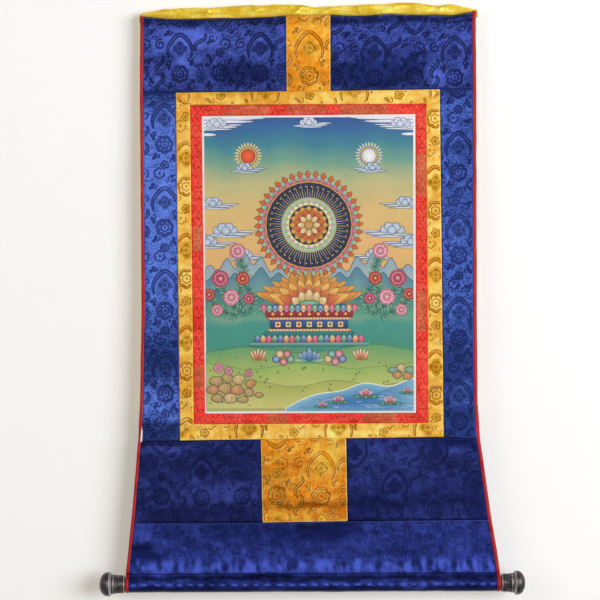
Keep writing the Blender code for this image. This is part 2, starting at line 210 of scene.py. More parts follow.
def on_cloth(x, v, lift=0.0):
    """Place of a flat cloth point, lifted off the front face: x, y and z with the cloth's own wrap."""
    x, v, lift = np.broadcast_arrays(np.asarray(x, float), np.asarray(v, float), np.asarray(lift, float))
    hung = np.maximum(v, SLEEVE_STITCH)
    y = cloth_front(x, hung) - lift
    below = SLEEVE_STITCH - v
    radius = SLEEVE_OUTER + 0.16 * ripple(x, v, 34.0, 5) + 0.06 * ripple(x, v * 0.5, 11.0, 6) + lift
    angle = SLEEVE_START + np.maximum(0.0, below - SLEEVE_NECK) / SLEEVE_OUTER
    last = TAU - SLEEVE_OPENING
    tail = np.maximum(0.0, (angle - last) * SLEEVE_OUTER)
    angle = np.minimum(angle, last)
    round_z = ROD_Z + radius * np.cos(angle)
    lead = np.clip(below / SLEEVE_NECK, 0.0, 1.0) ** 1.5
    y = np.where(below > 0, y * (1 - lead) + (ROD_Y - radius * np.sin(angle)) * lead, y)
    z = np.where(below > 0, hung * (1 - lead) + round_z * lead, hung)
    back_y = ROD_Y + SLEEVE_LAYERS_Y + FRONT
    rise = np.clip(tail / 4.0, 0.0, 1.0)
    y = np.where(tail > 0, y * (1 - rise) + back_y * rise, y)
    z = np.where(tail > 0, round_z + tail, z)
    return np.stack([x, y, z], axis=-1)


# Painted sheen and painted shade of the silk: light caught on its folds, shade in folds, beside seams and under the
# roll
BLUE_SHEEN_AND_SHADE = (
    # middle x and height, reach along each, strength
    (0, -6, 900, 6.5, -1.05), (-160, -34, 50, 14, 0.95), (-205, -62, 24, 7, -0.6), (-174, -66, 18, 14, 0.8),
    (-96, -82, 60, 17, -1.2), (-215, -90, 18, 7, 0.3), (-226, -106, 60, 5, -0.5), (82, -34, 50, 12, -0.3),
    (86, -80, 74, 22, -1.8), (150, -56, 28, 9, -0.7), (181, -86, 20, 14, 1.1), (208, -44, 14, 18, 0.35),
    (-212, -240, 60, 120, 0.5), (-212, -114, 60, 14, -0.9), (-212, -355, 60, 40, 0.15),
    (-205, -476, 60, 32, -1.2), (-215, -534, 30, 16, 0.5), (-212, -580, 60, 15, -1.2),
    (210, -106, 60, 9, -0.6), (222, -165, 10, 40, -0.4), (210, -250, 60, 150, -0.4),
    (205, -486, 60, 50, -1.1), (210, -572, 60, 26, -1.5), (-202, -603, 30, 6, 0.95),
    (-110, -612, 60, 18, -0.45), (-238, -655, 12, 10, 0.45), (-132, -662, 46, 13, 0.7),
    (-150, -692, 90, 11, -0.6), (66, -626, 14, 14, 0.45), (120, -612, 44, 19, 0.6), (203, -606, 11, 5, 0.9),
    (112, -676, 84, 14, -0.9), (190, -592, 30, 5, -0.5), (232, -668, 14, 34, -0.6),
    (-234, -722, 18, 14, 0.75), (0, -730, 900, 24, -0.4), (-236, -748, 26, 8, -1.6),
    (20, -714, 60, 16, -0.85), (130, -730, 80, 12, 0.25), (-90, -715, 60, 12, -0.25),
    (0, -767, 900, 6.5, 0.55), (0, -784, 900, 4.5, -1), (-144, -793, 26, 3, -0.9), (0, -808, 900, 12, -1.6),
)
# Painted sheen and painted shade of the gold silk, in the same columns
GOLD_SHEEN_AND_SHADE = (
    (0, -7, 60, 6, -0.3), (0, -90, 60, 16, -0.35), (-95, -109, 60, 4, -0.45), (90, -114, 90, 8, 0.35),
    (-176, -230, 12, 90, 0.3), (-172, -500, 12, 40, -0.15), (175, -250, 12, 120, 0.2),
    (175, -520, 12, 30, -0.35), (70, -580, 110, 5, 0.55), (-120, -583, 50, 6, -0.2),
    (-44, -650, 26, 30, -0.5), (30, -612, 22, 26, 0.6), (6, -680, 60, 5, -1.1), (-6, -698, 60, 5, 0.3),
)
# Broken line of light along the front of the roll
ROLL_SHINE = -793.0
SHINE_BREADTH = 1.3


def sheen(x, v, table):
    """Soft uneven mottle and the listed patches of painted light and shade, positive for painted sheen and negative
    for painted shade.
    """
    wavy_x = x + 7.0 * ripple(x, v, 34.0, 61)
    wavy_v = v + 3.0 * ripple(x, v, 26.0, 62)
    total = 0.16 * ripple(x, v, 18.0, 63) + 0.10 * ripple(x, v, 9.0, 64)
    for middle, height, wide, high, strength in table:
        total += strength * bell(wavy_x - middle, wide) * bell(wavy_v - height, high)
    return total


def quads(*corners):
    """Faces from arrays of the point numbers of each corner."""
    return np.stack([corner.ravel() for corner in corners], axis=1)


def grid_faces(rows, columns):
    index = np.arange(rows * columns).reshape(rows, columns)
    return quads(index[:-1, :-1], index[1:, :-1], index[1:, 1:], index[:-1, 1:])


def mesh_object(name, points, faces, materials, flat=None, paint=None):
    """Object from points in millimetres, with its flat cloth map in metres and its paint if given."""
    data = bpy.data.meshes.new(name)
    faces = faces.tolist() if isinstance(faces, np.ndarray) else faces
    data.from_pydata((np.asarray(points).reshape(-1, 3) * MM).tolist(), [], faces)
    data.shade_smooth()
    for material in materials:
        data.materials.append(material)
    if flat is not None:
        corners = np.empty(len(data.loops), np.int32)
        data.loops.foreach_get("vertex_index", corners)
        layer = data.uv_layers.new(name="flat")
        layer.uv.foreach_set("vector", (np.asarray(flat) * MM)[corners].astype(np.float32).ravel())
    if paint is not None:
        layer = data.color_attributes.new("paint", "FLOAT_COLOR", "POINT")
        rgba = np.concatenate([paint, np.ones((len(paint), 1))], axis=1)
        layer.data.foreach_set("color", rgba.astype(np.float32).ravel())
    item = bpy.data.objects.new(name, data)
    bpy.context.collection.objects.link(item)
    return item


def dress(item, solid=None):
    """Tell the frame what a piece rides on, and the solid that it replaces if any."""
    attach(item, "root")
    if solid:
        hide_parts(solid)


def stops(length, step):
    """Places along a side, close together beside its two seams."""
    near = np.array([0.0, 0.6, 1.3, 2.2, 3.4])
    inner = np.linspace(near[-1], length - near[-1], max(2, round((length - 2 * near[-1]) / step) + 1))
    return np.concatenate([near[:-1], inner, (length - near[:-1])[::-1]])


class Panel:
    """A flat piece of cloth between four curved sides, given as functions of height or x."""

    def __init__(self, name, sides, width, length, lift=0.0, turned=False, hem=False):
        self.name, self.width, self.length = name, width, length
        self.left, self.right, self.top, self.foot = sides
        self.lift, self.turned, self.hem = lift, turned, hem
        self.puckered = name != "painted_canvas"
        self.seed = sum(name.encode())

    def grid(self, across_steps, down_steps):
        u = np.asarray(across_steps) / self.width
        w = np.asarray(down_steps) / self.length
        x = np.zeros((len(w), len(u)))
        v = np.zeros_like(x)
        for _ in range(6):
            low, high = self.left(v), self.right(v)
            x = low + (high - low) * u[None, :]
            above, below = self.top(x), self.foot(x)
            v = above + (below - above) * w[:, None]
        return x, v

    def gaps(self, x, v):
        """Distances from the left, right, lower and upper sides."""
        return x - self.left(v), self.right(v) - x, v - self.foot(x), self.top(x) - v

    def inside(self, x, v, margin):
        return np.min(self.gaps(x, v), axis=0) > margin

    def clamp(self, x, v, margin):
        """Nearest place that is inside the panel by the margin."""
        for _ in range(2):
            x = np.clip(x, self.left(v) + margin, self.right(v) - margin)
            v = np.clip(v, self.foot(x) + margin, self.top(x) - margin)
        return x, v

    def near(self, path):
        """Whether any of a path lies in the panel or just beside it."""
        x, z = self.clamp(path[:, 0], path[:, 1], 0.0)
        return (np.hypot(x - path[:, 0], z - path[:, 1]) < 1.0).any()

    def shade(self, x, v):
        """Painted light and shade of the silk: plain at 0.5, painted shade below it and painted sheen above it;
        blue silk has painted shade beside its seams.
        """
        if self.turned:
            total = sheen(x, v, GOLD_SHEEN_AND_SHADE if "gold" in self.name else ())
        else:
            total = sheen(x, v, BLUE_SHEEN_AND_SHADE)
            # Painted shade beside each seam of the blue silk
            for gap in self.gaps(x, v):
                total = total - 0.9 * bell(gap, 1.5)
            # Painted sheen and shade in ragged smears on the cloth just above the sleeve
            sheen_smears = ripple(x, 0.25 * v, 11.0, 31) + 0.6 * ripple(x, 0.3 * v, 6.5, 32)
            total = total + 0.75 * sheen_smears * bell(v + 764.0, 8.0)
            # Painted highlight: a broken line along the front of the roll
            highlight_dashes = 2.0 * np.sin(TAU * x / 15.5 + 1.2 * ripple(x, 0 * v, 60.0, 29)) + 0.9
            total = total + np.clip(highlight_dashes, 0.0, 2.2) * bell(v - ROLL_SHINE, SHINE_BREADTH)
        return np.clip(0.5 + total / 2, 0.0, 1.0)

    def relief(self, x, v):
        """Stand-off from the plain cloth: drawn in beside a seam, or rounded over along a turned edge."""
        total = self.lift + 0 * x
        drop, reach = (0.5, 0.5) if self.turned else (0.12, 1.0)
        for side, gap in enumerate(self.gaps(x, v)):
            other = v if side < 2 else x
            pucker = ripple(other, other * 0.3, 12.0, self.seed + side) * self.puckered
            total = total + (0.12 + 0.14 * pucker) * bell(gap - 4.0, 2.6) - drop * bell(gap, reach)
            if self.hem and side == 3:
                total = total - 2.2 * bell(gap, 1.6)
        return total


def as_paint(shade):
    """Painted light and shade as the colour that a mesh holds at its points."""
    return np.repeat(np.reshape(shade, (-1, 1)), 3, axis=1)


def finish_sheet(name, points, flat, shade, materials, thickness):
    """Thin sheet from a grid of points in place of one solid, with its flat map at its flat size."""
    item = mesh_object("cloth_" + name, points, grid_faces(*points.shape[:2]), materials, flat.reshape(-1, 2),
                       as_paint(shade))
    solidify = item.modifiers.new("Thickness", "SOLIDIFY")
    solidify.thickness = thickness * MM
    solidify.offset = -1.0
    solidify.material_offset = len(materials) - 1
    solidify.material_offset_rim = 0
    dress(item, name)


def add_sheet(panel, materials, step=3.0, thickness=SHEET, down=None):
    """Thin sheet over one panel, with its seams drawn in."""
    x, v = panel.grid(stops(panel.width, step), stops(panel.length, step) if down is None else down)
    points = on_cloth(x, v, panel.relief(x, v))
    finish_sheet(panel.name, points, np.stack([x, v], axis=-1), panel.shade(x, v), materials, thickness)


# Materials


def scaled(values, share):
    return tuple(min(1.0, value * share) for value in values)


def thousandths(values):
    return tuple(value / 1000 for value in values)


def pure(bright):
    """Colour of the shine, purer than the threads' own."""
    strongest = max(bright)
    return tuple((value / strongest) ** 1.3 for value in bright)


class Look:
    """A material, with the nodes that the cloths, metals and wood are made of."""

    def __init__(self, name):
        self.material = bpy.data.materials.new(name)
        self.material.use_nodes = True
        self.tree = self.material.node_tree
        self.shader = self.tree.nodes["Principled BSDF"]

    def wire(self, made, inputs):
        """Link or set a node's inputs, which are other nodes' outputs or values."""
        for key, value in inputs.items():
            socket = made.inputs[key]
            if isinstance(value, bpy.types.NodeSocket):
                self.tree.links.new(value, socket)
            else:
                socket.default_value = (*value, 1.0) if socket.type == "RGBA" else value

    def node(self, kind, inputs, **settings):
        made = self.tree.nodes.new(kind)
        for key, value in settings.items():
            setattr(made, key, value)
        self.wire(made, inputs)
        return made.outputs

    def finish(self, base, roughness, **inputs):
        """Set the shader's inputs; an underscore stands for a space in their names."""
        named = {key.replace("_", " "): value for key, value in inputs.items()}
        self.wire(self.shader, {"Base Color": base, "Roughness": roughness, **named})
        return self.material

    def maths(self, operation, a, b=0.0):
        return self.node("ShaderNodeMath", {0: a, 1: b}, operation=operation)[0]

    def plus(self, a, b):
        return self.maths("ADD", a, b)

    def times(self, a, b):
        return self.maths("MULTIPLY", a, b)

    def blend(self, factor, first, second, kind="MIX"):
        return self.node("ShaderNodeMix", {0: factor, 6: first, 7: second}, data_type="RGBA", blend_type=kind)[2]

    def ramp(self, factor, low, high):
        """Factor spread from 0 to 1 between two of its values."""
        return self.node("ShaderNodeMapRange", {0: factor, 1: low, 2: high, 3: 0.0, 4: 1.0}, clamp=True)[0]

    def places(self):
        return self.node("ShaderNodeTexCoord", {})["Object"]

    def flat_map(self):
        return self.node("ShaderNodeUVMap", {}, uv_map="flat")[0]

    def mapped(self, vector, **inputs):
        return self.node("ShaderNodeMapping", {"Vector": vector, **inputs})[0]

    # Colours held at the mesh's points: the painting's own colours, or the cloth's painted light and shade
    def paint(self):
        return self.node("ShaderNodeVertexColor", {}, layer_name="paint")[0]

    def noise(self, vector, scale, detail=2.0, rough=0.5, stretch=None):
        if stretch:
            vector = self.mapped(vector, Scale=stretch)
        inputs = {"Vector": vector, "Scale": scale, "Detail": detail, "Roughness": rough}
        return self.node("ShaderNodeTexNoise", inputs)[0]

    def threads(self, vector, pitch, direction):
        """Rounded rows of thread at a pitch in metres, along X or Y of the flat map."""
        inputs = {"Vector": vector, "Scale": math.pi / 10 / pitch, "Distortion": 0.6, "Detail": 1.0}
        return self.node("ShaderNodeTexWave", inputs, wave_type="BANDS", bands_direction=direction)["Fac"]

    def worms(self, vector, scale, width):
        """1 along fine wandering lines and 0 between them."""
        far = self.maths("ABSOLUTE", self.maths("SUBTRACT", self.noise(vector, scale, 1.0, 0.5), 0.5))
        return self.maths("SUBTRACT", 1.0, self.ramp(far, width * 0.4, width))

    def bump(self, height, strength, distance, under=None):
        inputs = {"Height": height, "Strength": strength, "Distance": distance}
        if under:
            inputs["Normal"] = under
        return self.node("ShaderNodeBump", inputs)[0]

    def with_painted_light(self, base, dark, bright):
        """Colour made darker by painted shade and lighter by painted sheen, from the tone held at the mesh's
        points, which is 0.5 where none is painted.
        """
        tone = self.paint()
        deep = self.times(self.ramp(tone, 0.5, 0.0), 0.9)
        light = self.times(self.ramp(tone, 0.5, 1.0), 0.75)
        base = self.blend(deep, base, scaled(dark, 0.45))
        return self.blend(light, base, scaled(bright, 1.3))


def silk(name, dark, mid, bright, rough=0.38, satin=1.0, weave=0.0007, tone_scale=11.0, vein=0.35):
    """Satin silk: uneven tone from weave and slubs, painted shade and sheen from its points, and a shine of its own
    colour drawn out across the warp.
    """
    look = Look(name)
    flat = look.flat_map()
    tone = look.noise(flat, tone_scale, 3.0, 0.5, (1.0, 1.6, 1.0))
    patch = look.noise(flat, 55.0, 4.0, 0.65, (1.0, 0.8, 1.0))
    slub = look.noise(flat, 900.0, 2.0, 0.6, (1.0, 0.12, 1.0))
    base = look.blend(look.ramp(tone, 0.40, 0.62), dark, mid)
    lively = look.times(look.ramp(patch, 0.44, 0.62), look.ramp(tone, 0.34, 0.60))
    base = look.blend(look.times(lively, 0.85), base, bright)
    base = look.blend(look.times(slub, 0.25), base, dark)
    mottle = look.noise(flat, 240.0, 3.0, 0.6, (1.0, 0.7, 1.0))
    base = look.blend(look.times(look.ramp(mottle, 0.52, 0.70), 0.40), base, bright)
    base = look.blend(look.times(look.ramp(mottle, 0.50, 0.34), 0.60), base, dark)
    if vein:
        base = look.blend(look.times(look.worms(flat, 170.0, 0.15), vein), base, scaled(dark, 0.8))
        base = look.blend(look.times(look.worms(flat, 230.0, 0.10), vein * 0.7), base, bright)
    crossing = look.times(look.threads(flat, weave, "X"), look.threads(flat, weave * 1.6, "Y"))
    normal = look.bump(look.plus(crossing, look.times(slub, 0.8)), 0.25, 0.00005)
    normal = look.bump(look.noise(flat, 110.0, 3.0, 0.6, (1.0, 0.5, 1.0)), 0.32, 0.0006, normal)
    tangent = look.node("ShaderNodeTangent", {}, direction_type="UV_MAP", uv_map="flat")[0]
    return look.finish(look.with_painted_light(base, dark, bright), look.plus(rough - 0.07, look.times(patch, 0.14)),
                       Normal=normal, Tangent=tangent, Anisotropic=0.6, Specular_IOR_Level=satin,
                       IOR=1.5 if satin < 0.8 else 1.8, Specular_Tint=pure(bright))


def figure_threads(name, dark, bright, rough, lines=0.0, satin=0.35):
    """Woven figure: short floats that catch the light unevenly, painted shade and sheen from its points, and fine
    wandering lines if given.
    """
    look = Look(name)
    where = look.places()
    fleck = look.noise(where, 420.0, 3.0, 0.65)
    drift = look.noise(where, 22.0, 2.0, 0.5)
    base = look.blend(look.times(look.ramp(fleck, 0.35, 0.70), look.ramp(drift, 0.30, 0.62)), dark, bright)
    if lines:
        base = look.blend(look.times(look.worms(where, 380.0, 0.07), lines), base, scaled(dark, 0.6))
    normal = look.bump(look.noise(where, 1400.0, 1.0, 0.5, (0.3, 1.0, 1.0)), 0.4, 0.00008)
    return look.finish(look.with_painted_light(base, dark, bright), look.plus(rough - 0.1, look.times(fleck, 0.25)),
                       Normal=normal, Specular_IOR_Level=satin, IOR=1.5 if satin < 0.5 else 1.8,
                       Specular_Tint=pure(bright))


def canvas(name, painted):
    """Primed canvas; its paint comes from the painted shapes' own colours."""
    look = Look(name)
    where = look.places()
    grain = look.noise(where, 420.0, 3.0, 0.6)
    wash = look.noise(where, 34.0, 3.0, 0.55)
    tone = look.plus(0.90, look.times(wash, 0.20))
    tone = look.times(tone, look.plus(0.93, look.times(grain, 0.14)))
    shade = look.node("ShaderNodeCombineColor", {0: tone, 1: tone, 2: tone})[0]
    base = look.blend(1.0, look.paint() if painted else (0.80, 0.78, 0.74), shade, "MULTIPLY")
    flat = look.mapped(where, Rotation=(math.pi / 2, 0, 0))
    weave = look.plus(look.threads(flat, 0.0006, "X"), look.threads(flat, 0.0006, "Y"))
    normal = look.bump(weave, 0.25, 0.00005, look.bump(grain, 0.15, 0.0003))
    return look.finish(base, look.plus(0.48, look.times(grain, 0.2)), Normal=normal)


def edging():
    look = Look("red_piping_cloth")
    where = look.places()
    fade = look.noise(where, 30.0, 4.0, 0.6)
    rib = look.threads(look.mapped(where, Rotation=(0, math.radians(38), 0)), 0.0009, "X")
    base = look.blend(look.ramp(fade, 0.35, 0.7), (0.36, 0.005, 0.005), (0.62, 0.014, 0.008))
    base = look.blend(look.times(rib, 0.25), base, (0.30, 0.006, 0.008))
    return look.finish(base, look.plus(0.42, look.times(fade, 0.2)), Normal=look.bump(rib, 0.5, 0.00015),
                       Specular_IOR_Level=0.3)


def pewter():
    """Dark dull cast metal with dark flecks, rubbed bright and glossier here and there."""
    look = Look("dark_pewter_metal")
    where = look.places()
    cloud = look.noise(where, 95.0, 5.0, 0.65)
    speck = look.noise(where, 620.0, 3.0, 0.6)
    rub = look.ramp(cloud, 0.45, 0.72)
    base = look.blend(rub, (0.050, 0.043, 0.042), (0.230, 0.205, 0.200))
    base = look.blend(look.ramp(speck, 0.55, 0.75), base, (0.030, 0.026, 0.026))
    return look.finish(base, look.maths("SUBTRACT", 0.52, look.times(rub, 0.2)),
                       Normal=look.bump(look.plus(cloud, speck), 0.35, 0.0004), Metallic=0.75)


def plain(name, dark, bright, noise, rough, spread, relief=None, **inputs):
    """One noise between two colours, which also varies the gloss and the relief if given."""
    look = Look(name)
    grain = look.noise(look.places(), *noise)
    if relief:
        inputs["Normal"] = look.bump(grain, *relief)
    return look.finish(look.blend(grain, dark, bright), look.plus(rough, look.times(grain, spread)), **inputs)


def thread(name, dark, bright):
    return plain(name, dark, bright, (900.0, 2.0, 0.5), 0.4, 0.2)


# Dark, middle and bright threads of each silk in thousandths, and where it departs from the plain silk
# blue_damask_bright is a lighter copy for the side strips, as painted sheen; blue_damask_foot, blue_damask_deep and
# gold_brocade_deep are darker copies for the foot and lower panels, as painted shade
SILK_TONES = {
    "blue_damask": ((13, 20, 88), (32, 50, 225), (98, 146, 600), {"satin": 0.55, "vein": 0.6}),
    "blue_damask_foot": ((9, 14, 70), (22, 35, 185), (66, 102, 520), {"satin": 0.55}),
    "blue_damask_bright": ((21, 41, 175), (52, 100, 410), (138, 245, 820), {"satin": 0.6, "vein": 0.8}),
    "blue_damask_deep": ((6, 9, 38), (14, 20, 90), (40, 56, 245), {"rough": 0.42, "satin": 0.4}),
    "blue_damask_back": ((14, 18, 130), (30, 40, 240), (50, 65, 330), {"rough": 0.62, "satin": 0.3}),
    "gold_brocade_silk": ((800, 315, 16), (1000, 540, 52), (1000, 810, 240),
                          {"rough": 0.42, "satin": 0.5, "vein": 0.15}),
    "gold_brocade_warm": ((780, 215, 6), (1000, 370, 16), (1000, 620, 90),
                          {"rough": 0.42, "satin": 0.5, "vein": 0.15}),
    "gold_brocade_deep": ((600, 130, 3), (860, 260, 8), (1000, 580, 80),
                          {"rough": 0.42, "satin": 0.5, "vein": 0.2}),
    "red_brocade_silk": ((780, 24, 20), (1000, 46, 38), (1000, 100, 74),
                         {"rough": 0.45, "satin": 0.4, "vein": 0.2}),
    "yellow_cover_silk": ((760, 430, 12), (1000, 700, 36), (1000, 900, 210),
                          {"rough": 0.36, "weave": 0.0005, "tone_scale": 26.0, "vein": 0.0}),
}
# Dark and bright threads of each figure in thousandths, its roughness, its wandering lines and its satin
# blue_figure_strips and blue_strip_ground are lighter copies for the side strips and blue_figure_faint a darker one
# for the lower panels, as painted sheen and shade; blue_figure_light and gold_figure_light are painted highlights,
# the glints beside heavy lines, and gold_figure_light also makes the gold's edge lines
FIGURE_TONES = {
    "blue_figure_threads": ((10, 14, 58), (20, 29, 120), 0.45, 0.0, 0.45),
    "blue_figure_strips": ((17, 27, 115), (36, 58, 230), 0.45, 0.0, 0.45),
    "blue_figure_light": ((34, 58, 260), (110, 180, 620), 0.45, 0.0, 0.45),
    "blue_figure_ground": ((17, 25, 106), (42, 62, 260), 0.45, 0.5, 0.45),
    "blue_strip_ground": ((36, 64, 245), (95, 160, 520), 0.45, 0.6, 0.45),
    "blue_figure_faint": ((8, 11, 50), (16, 22, 98), 0.45, 0.3, 0.4),
    "gold_figure_band": ((560, 180, 6), (760, 320, 14), 0.45),
    "gold_figure_threads": ((170, 42, 2), (400, 125, 6), 0.5),
    "gold_figure_light": ((840, 520, 100), (1000, 820, 340), 0.4),
    "gold_figure_ground": ((680, 300, 18), (940, 580, 90), 0.5, 0.7),
    "red_figure_threads": ((640, 110, 50), (900, 340, 170), 0.5),
    "red_figure_dark": ((200, 6, 8), (400, 18, 14), 0.5),
    "red_figure_ground": ((480, 60, 26), (760, 210, 90), 0.5),
}
SILK = {name: silk(name, *map(thousandths, tones), **rest) for name, (*tones, rest) in SILK_TONES.items()}
FIGURE = {name: figure_threads(name, thousandths(dark), thousandths(bright), *rest)
          for name, (dark, bright, *rest) in FIGURE_TONES.items()}
PAINT = canvas("canvas_painted", True)


# The cloth panels

GOLD_LIFT = 0.7
RED_LIFT = 0.15
CANVAS_LIFT = -0.35
LEFT, RIGHT = (partial(panel_edge_x, side) for side in (-1, 1))
SEAM_LINES = (TOP_EDGE, FRAME_TOP_SEAM, FRAME_FOOT_SEAM, FOOT_SEAM)
TOP, FRAME_TOP, FRAME_FOOT, FOOT = (partial(along, line) for line in SEAM_LINES)
STRIP_LEFT, STRIP_RIGHT = (line_x(*side) for side in TOP_STRIP)
LOWER_LEFT, LOWER_RIGHT = (line_x(*side) for side in LOWER_PANEL)
GOLD_LEFT = line_x(GOLD_CORNERS[0], GOLD_CORNERS[3])
GOLD_RIGHT = line_x(GOLD_CORNERS[1], GOLD_CORNERS[2])


def border_panels(name, outer, inner, width, lift, top, foot):
    """Four mitred strips between nested outlines."""
    mitre_x = [line_x(outer[corner], inner[corner]) for corner in range(4)]
    mitre_z = [line_z(outer[corner], inner[corner]) for corner in range(4)]
    across = outer[1][0] - outer[0][0]
    down = outer[0][1] - outer[3][1]
    outer_left, inner_left = line_x(outer[0], outer[3]), line_x(inner[0], inner[3])
    inner_right, outer_right = line_x(inner[1], inner[2]), line_x(outer[1], outer[2])
    strips = (
        ("_top", (mitre_x[0], mitre_x[1], top, line_z(inner[0], inner[1])), across, width),
        ("_foot", (mitre_x[3], mitre_x[2], line_z(inner[3], inner[2]), foot), across, width),
        ("_left", (outer_left, inner_left, mitre_z[0], mitre_z[3]), width, down),
        ("_right", (inner_right, outer_right, mitre_z[1], mitre_z[2]), width, down),
    )
    return [Panel(name + end, sides, wide, long, lift, turned=True) for end, sides, wide, long in strips]


BLUE_PANELS = [
    Panel("blue_top_left", (LEFT, STRIP_LEFT, TOP, FRAME_TOP), 198, 105, hem=True),
    Panel("blue_top_right", (STRIP_RIGHT, RIGHT, TOP, FRAME_TOP), 198, 106, hem=True),
    Panel("blue_side_left", (LEFT, GOLD_LEFT, FRAME_TOP, FRAME_FOOT), 50, 483),
    Panel("blue_side_right", (GOLD_RIGHT, RIGHT, FRAME_TOP, FRAME_FOOT), 46, 484),
    Panel("blue_lower_left", (LEFT, LOWER_LEFT, FRAME_FOOT, FOOT), 172, 114),
    Panel("blue_lower_right", (LOWER_RIGHT, RIGHT, FRAME_FOOT, FOOT), 190, 114),
]
GOLD_PANELS = [
    Panel("gold_top_strip", (STRIP_LEFT, STRIP_RIGHT, TOP, FRAME_TOP), 61, 106, GOLD_LIFT, True, True),
    Panel("gold_lower_panel", (LOWER_LEFT, LOWER_RIGHT, FRAME_FOOT, FOOT), 118, 115, GOLD_LIFT, True),
] + border_panels("gold_frame", GOLD_CORNERS, RED_CORNERS, 20, GOLD_LIFT, FRAME_TOP, FRAME_FOOT)
RED_PANELS = border_panels("red_frame", RED_CORNERS, CANVAS_CORNERS, 15.5, RED_LIFT,
                           line_z(*RED_CORNERS[:2]), line_z(RED_CORNERS[3], RED_CORNERS[2]))
SLEEVE_END = SLEEVE_STITCH - SLEEVE_LENGTH
FOOT_PANEL = Panel("blue_foot_panel", (LEFT, RIGHT, FOOT, level(SLEEVE_END)), 508, abs(SLEEVE_END) - 704)
CANVAS_SIDES = (line_x(CANVAS_CORNERS[0], CANVAS_CORNERS[3]), line_x(CANVAS_CORNERS[1], CANVAS_CORNERS[2]),
                line_z(CANVAS_CORNERS[0], CANVAS_CORNERS[1]), line_z(CANVAS_CORNERS[3], CANVAS_CORNERS[2]))
CANVAS_PANEL = Panel("painted_canvas", CANVAS_SIDES, 296, 414, CANVAS_LIFT)


def add_panels():
    back = SILK["blue_damask_back"]
    for panel in BLUE_PANELS:
        # Side strips take the lighter silk as painted sheen, lower panels the darker one as painted shade
        tone = "_bright" if "side" in panel.name else "_deep" if "lower" in panel.name else ""
        add_sheet(panel, [SILK["blue_damask" + tone], back])
    near_seam = stops(FOOT_PANEL.length, 3.0)[:5]
    down = np.concatenate([near_seam, np.arange(6.0, 66.0, 3.0), np.arange(66.0, FOOT_PANEL.length, 1.4)])
    # The foot takes a darker copy of the silk, as painted shade
    add_sheet(FOOT_PANEL, [SILK["blue_damask_foot"], back], down=down)
    for panel in GOLD_PANELS:
        # The lower gold panel takes a darker copy of the gold silk, as painted shade
        tone = "deep" if "panel" in panel.name else "warm" if "strip" in panel.name else "silk"
        add_sheet(panel, [SILK["gold_brocade_" + tone]], thickness=1.6)
    for panel in RED_PANELS:
        add_sheet(panel, [SILK["red_brocade_silk"]], thickness=1.2)
    add_sheet(CANVAS_PANEL, [canvas("canvas_primed", False)], 4.5)


add_panels()


# Shapes laid on the cloth


def even(path, step):
    """The same path in even steps."""
    path = np.asarray(path, float)
    run = np.concatenate([[0.0], np.cumsum(np.hypot(*np.diff(path, axis=0).T))])
    places = np.linspace(0, run[-1], max(3, round(run[-1] / step) + 1))
    return np.stack([np.interp(places, run, path[:, 0]), np.interp(places, run, path[:, 1])], axis=1)


def smooth(points, closed=False, step=1.5):
    """Even steps along a smooth curve through given points."""
    points = np.asarray(points, float)
    count = len(points)
    index = np.arange(count if closed else count - 1)
    around = [index + offset for offset in (-1, 0, 1, 2)]
    picked = [points[i % count if closed else np.clip(i, 0, count - 1)] for i in around]
    a, b, c, d = (corner[:, None, :] for corner in picked)
    t = np.linspace(0, 1, 12, endpoint=False)[None, :, None]
    bend = (2 * a - 5 * b + 4 * c - d) * t ** 2 + (3 * b - a - 3 * c + d) * t ** 3
    path = 0.5 * (2 * b + (c - a) * t + bend)
    return even(np.concatenate([path.reshape(-1, 2), points[:1] if closed else points[-1:]]), step)


def spiral(x, z, inner, outer, start, turns):
    """Spiral from its middle outwards; start is in degrees and turns may be negative."""
    t = np.linspace(0, 1, max(10, int(abs(turns) * 18)))
    angle = math.radians(start) + TAU * turns * t
    radius = inner + (outer - inner) * t
    return np.stack([x + radius * np.cos(angle), z + radius * np.sin(angle)], axis=1)


def lobes(x, z, radius, count, dip, turn=0.0, squash=1.0, step=1.4):
    """Closed outline of round lobes that meet in cusps."""
    angle = np.linspace(0, TAU, 24 * count + 1)
    reach = radius * (1 - dip * (1 - np.abs(np.sin(count * (angle - math.radians(turn)) / 2))))
    return even(np.stack([x + reach * np.cos(angle), z + squash * reach * np.sin(angle)], axis=1), step)


def moved(path, x=0.0, z=0.0, turn=0.0, size=1.0, flip=False):
    path = np.asarray(path, float) * size
    if flip:
        path = path * (-1, 1)
    cos, sin = math.cos(math.radians(turn)), math.sin(math.radians(turn))
    return path @ np.array([[cos, sin], [-sin, cos]]) + (x, z)


def normals(path):
    run = np.gradient(path, axis=0)
    run /= np.maximum(np.hypot(*run.T), 1e-9)[:, None]
    return np.stack([-run[:, 1], run[:, 0]], axis=1)


def runs(flags):
    """Start and end of each unbroken stretch of true flags."""
    edges = np.flatnonzero(np.diff(np.concatenate([[0], flags.astype(int), [0]])))
    return edges.reshape(-1, 2)


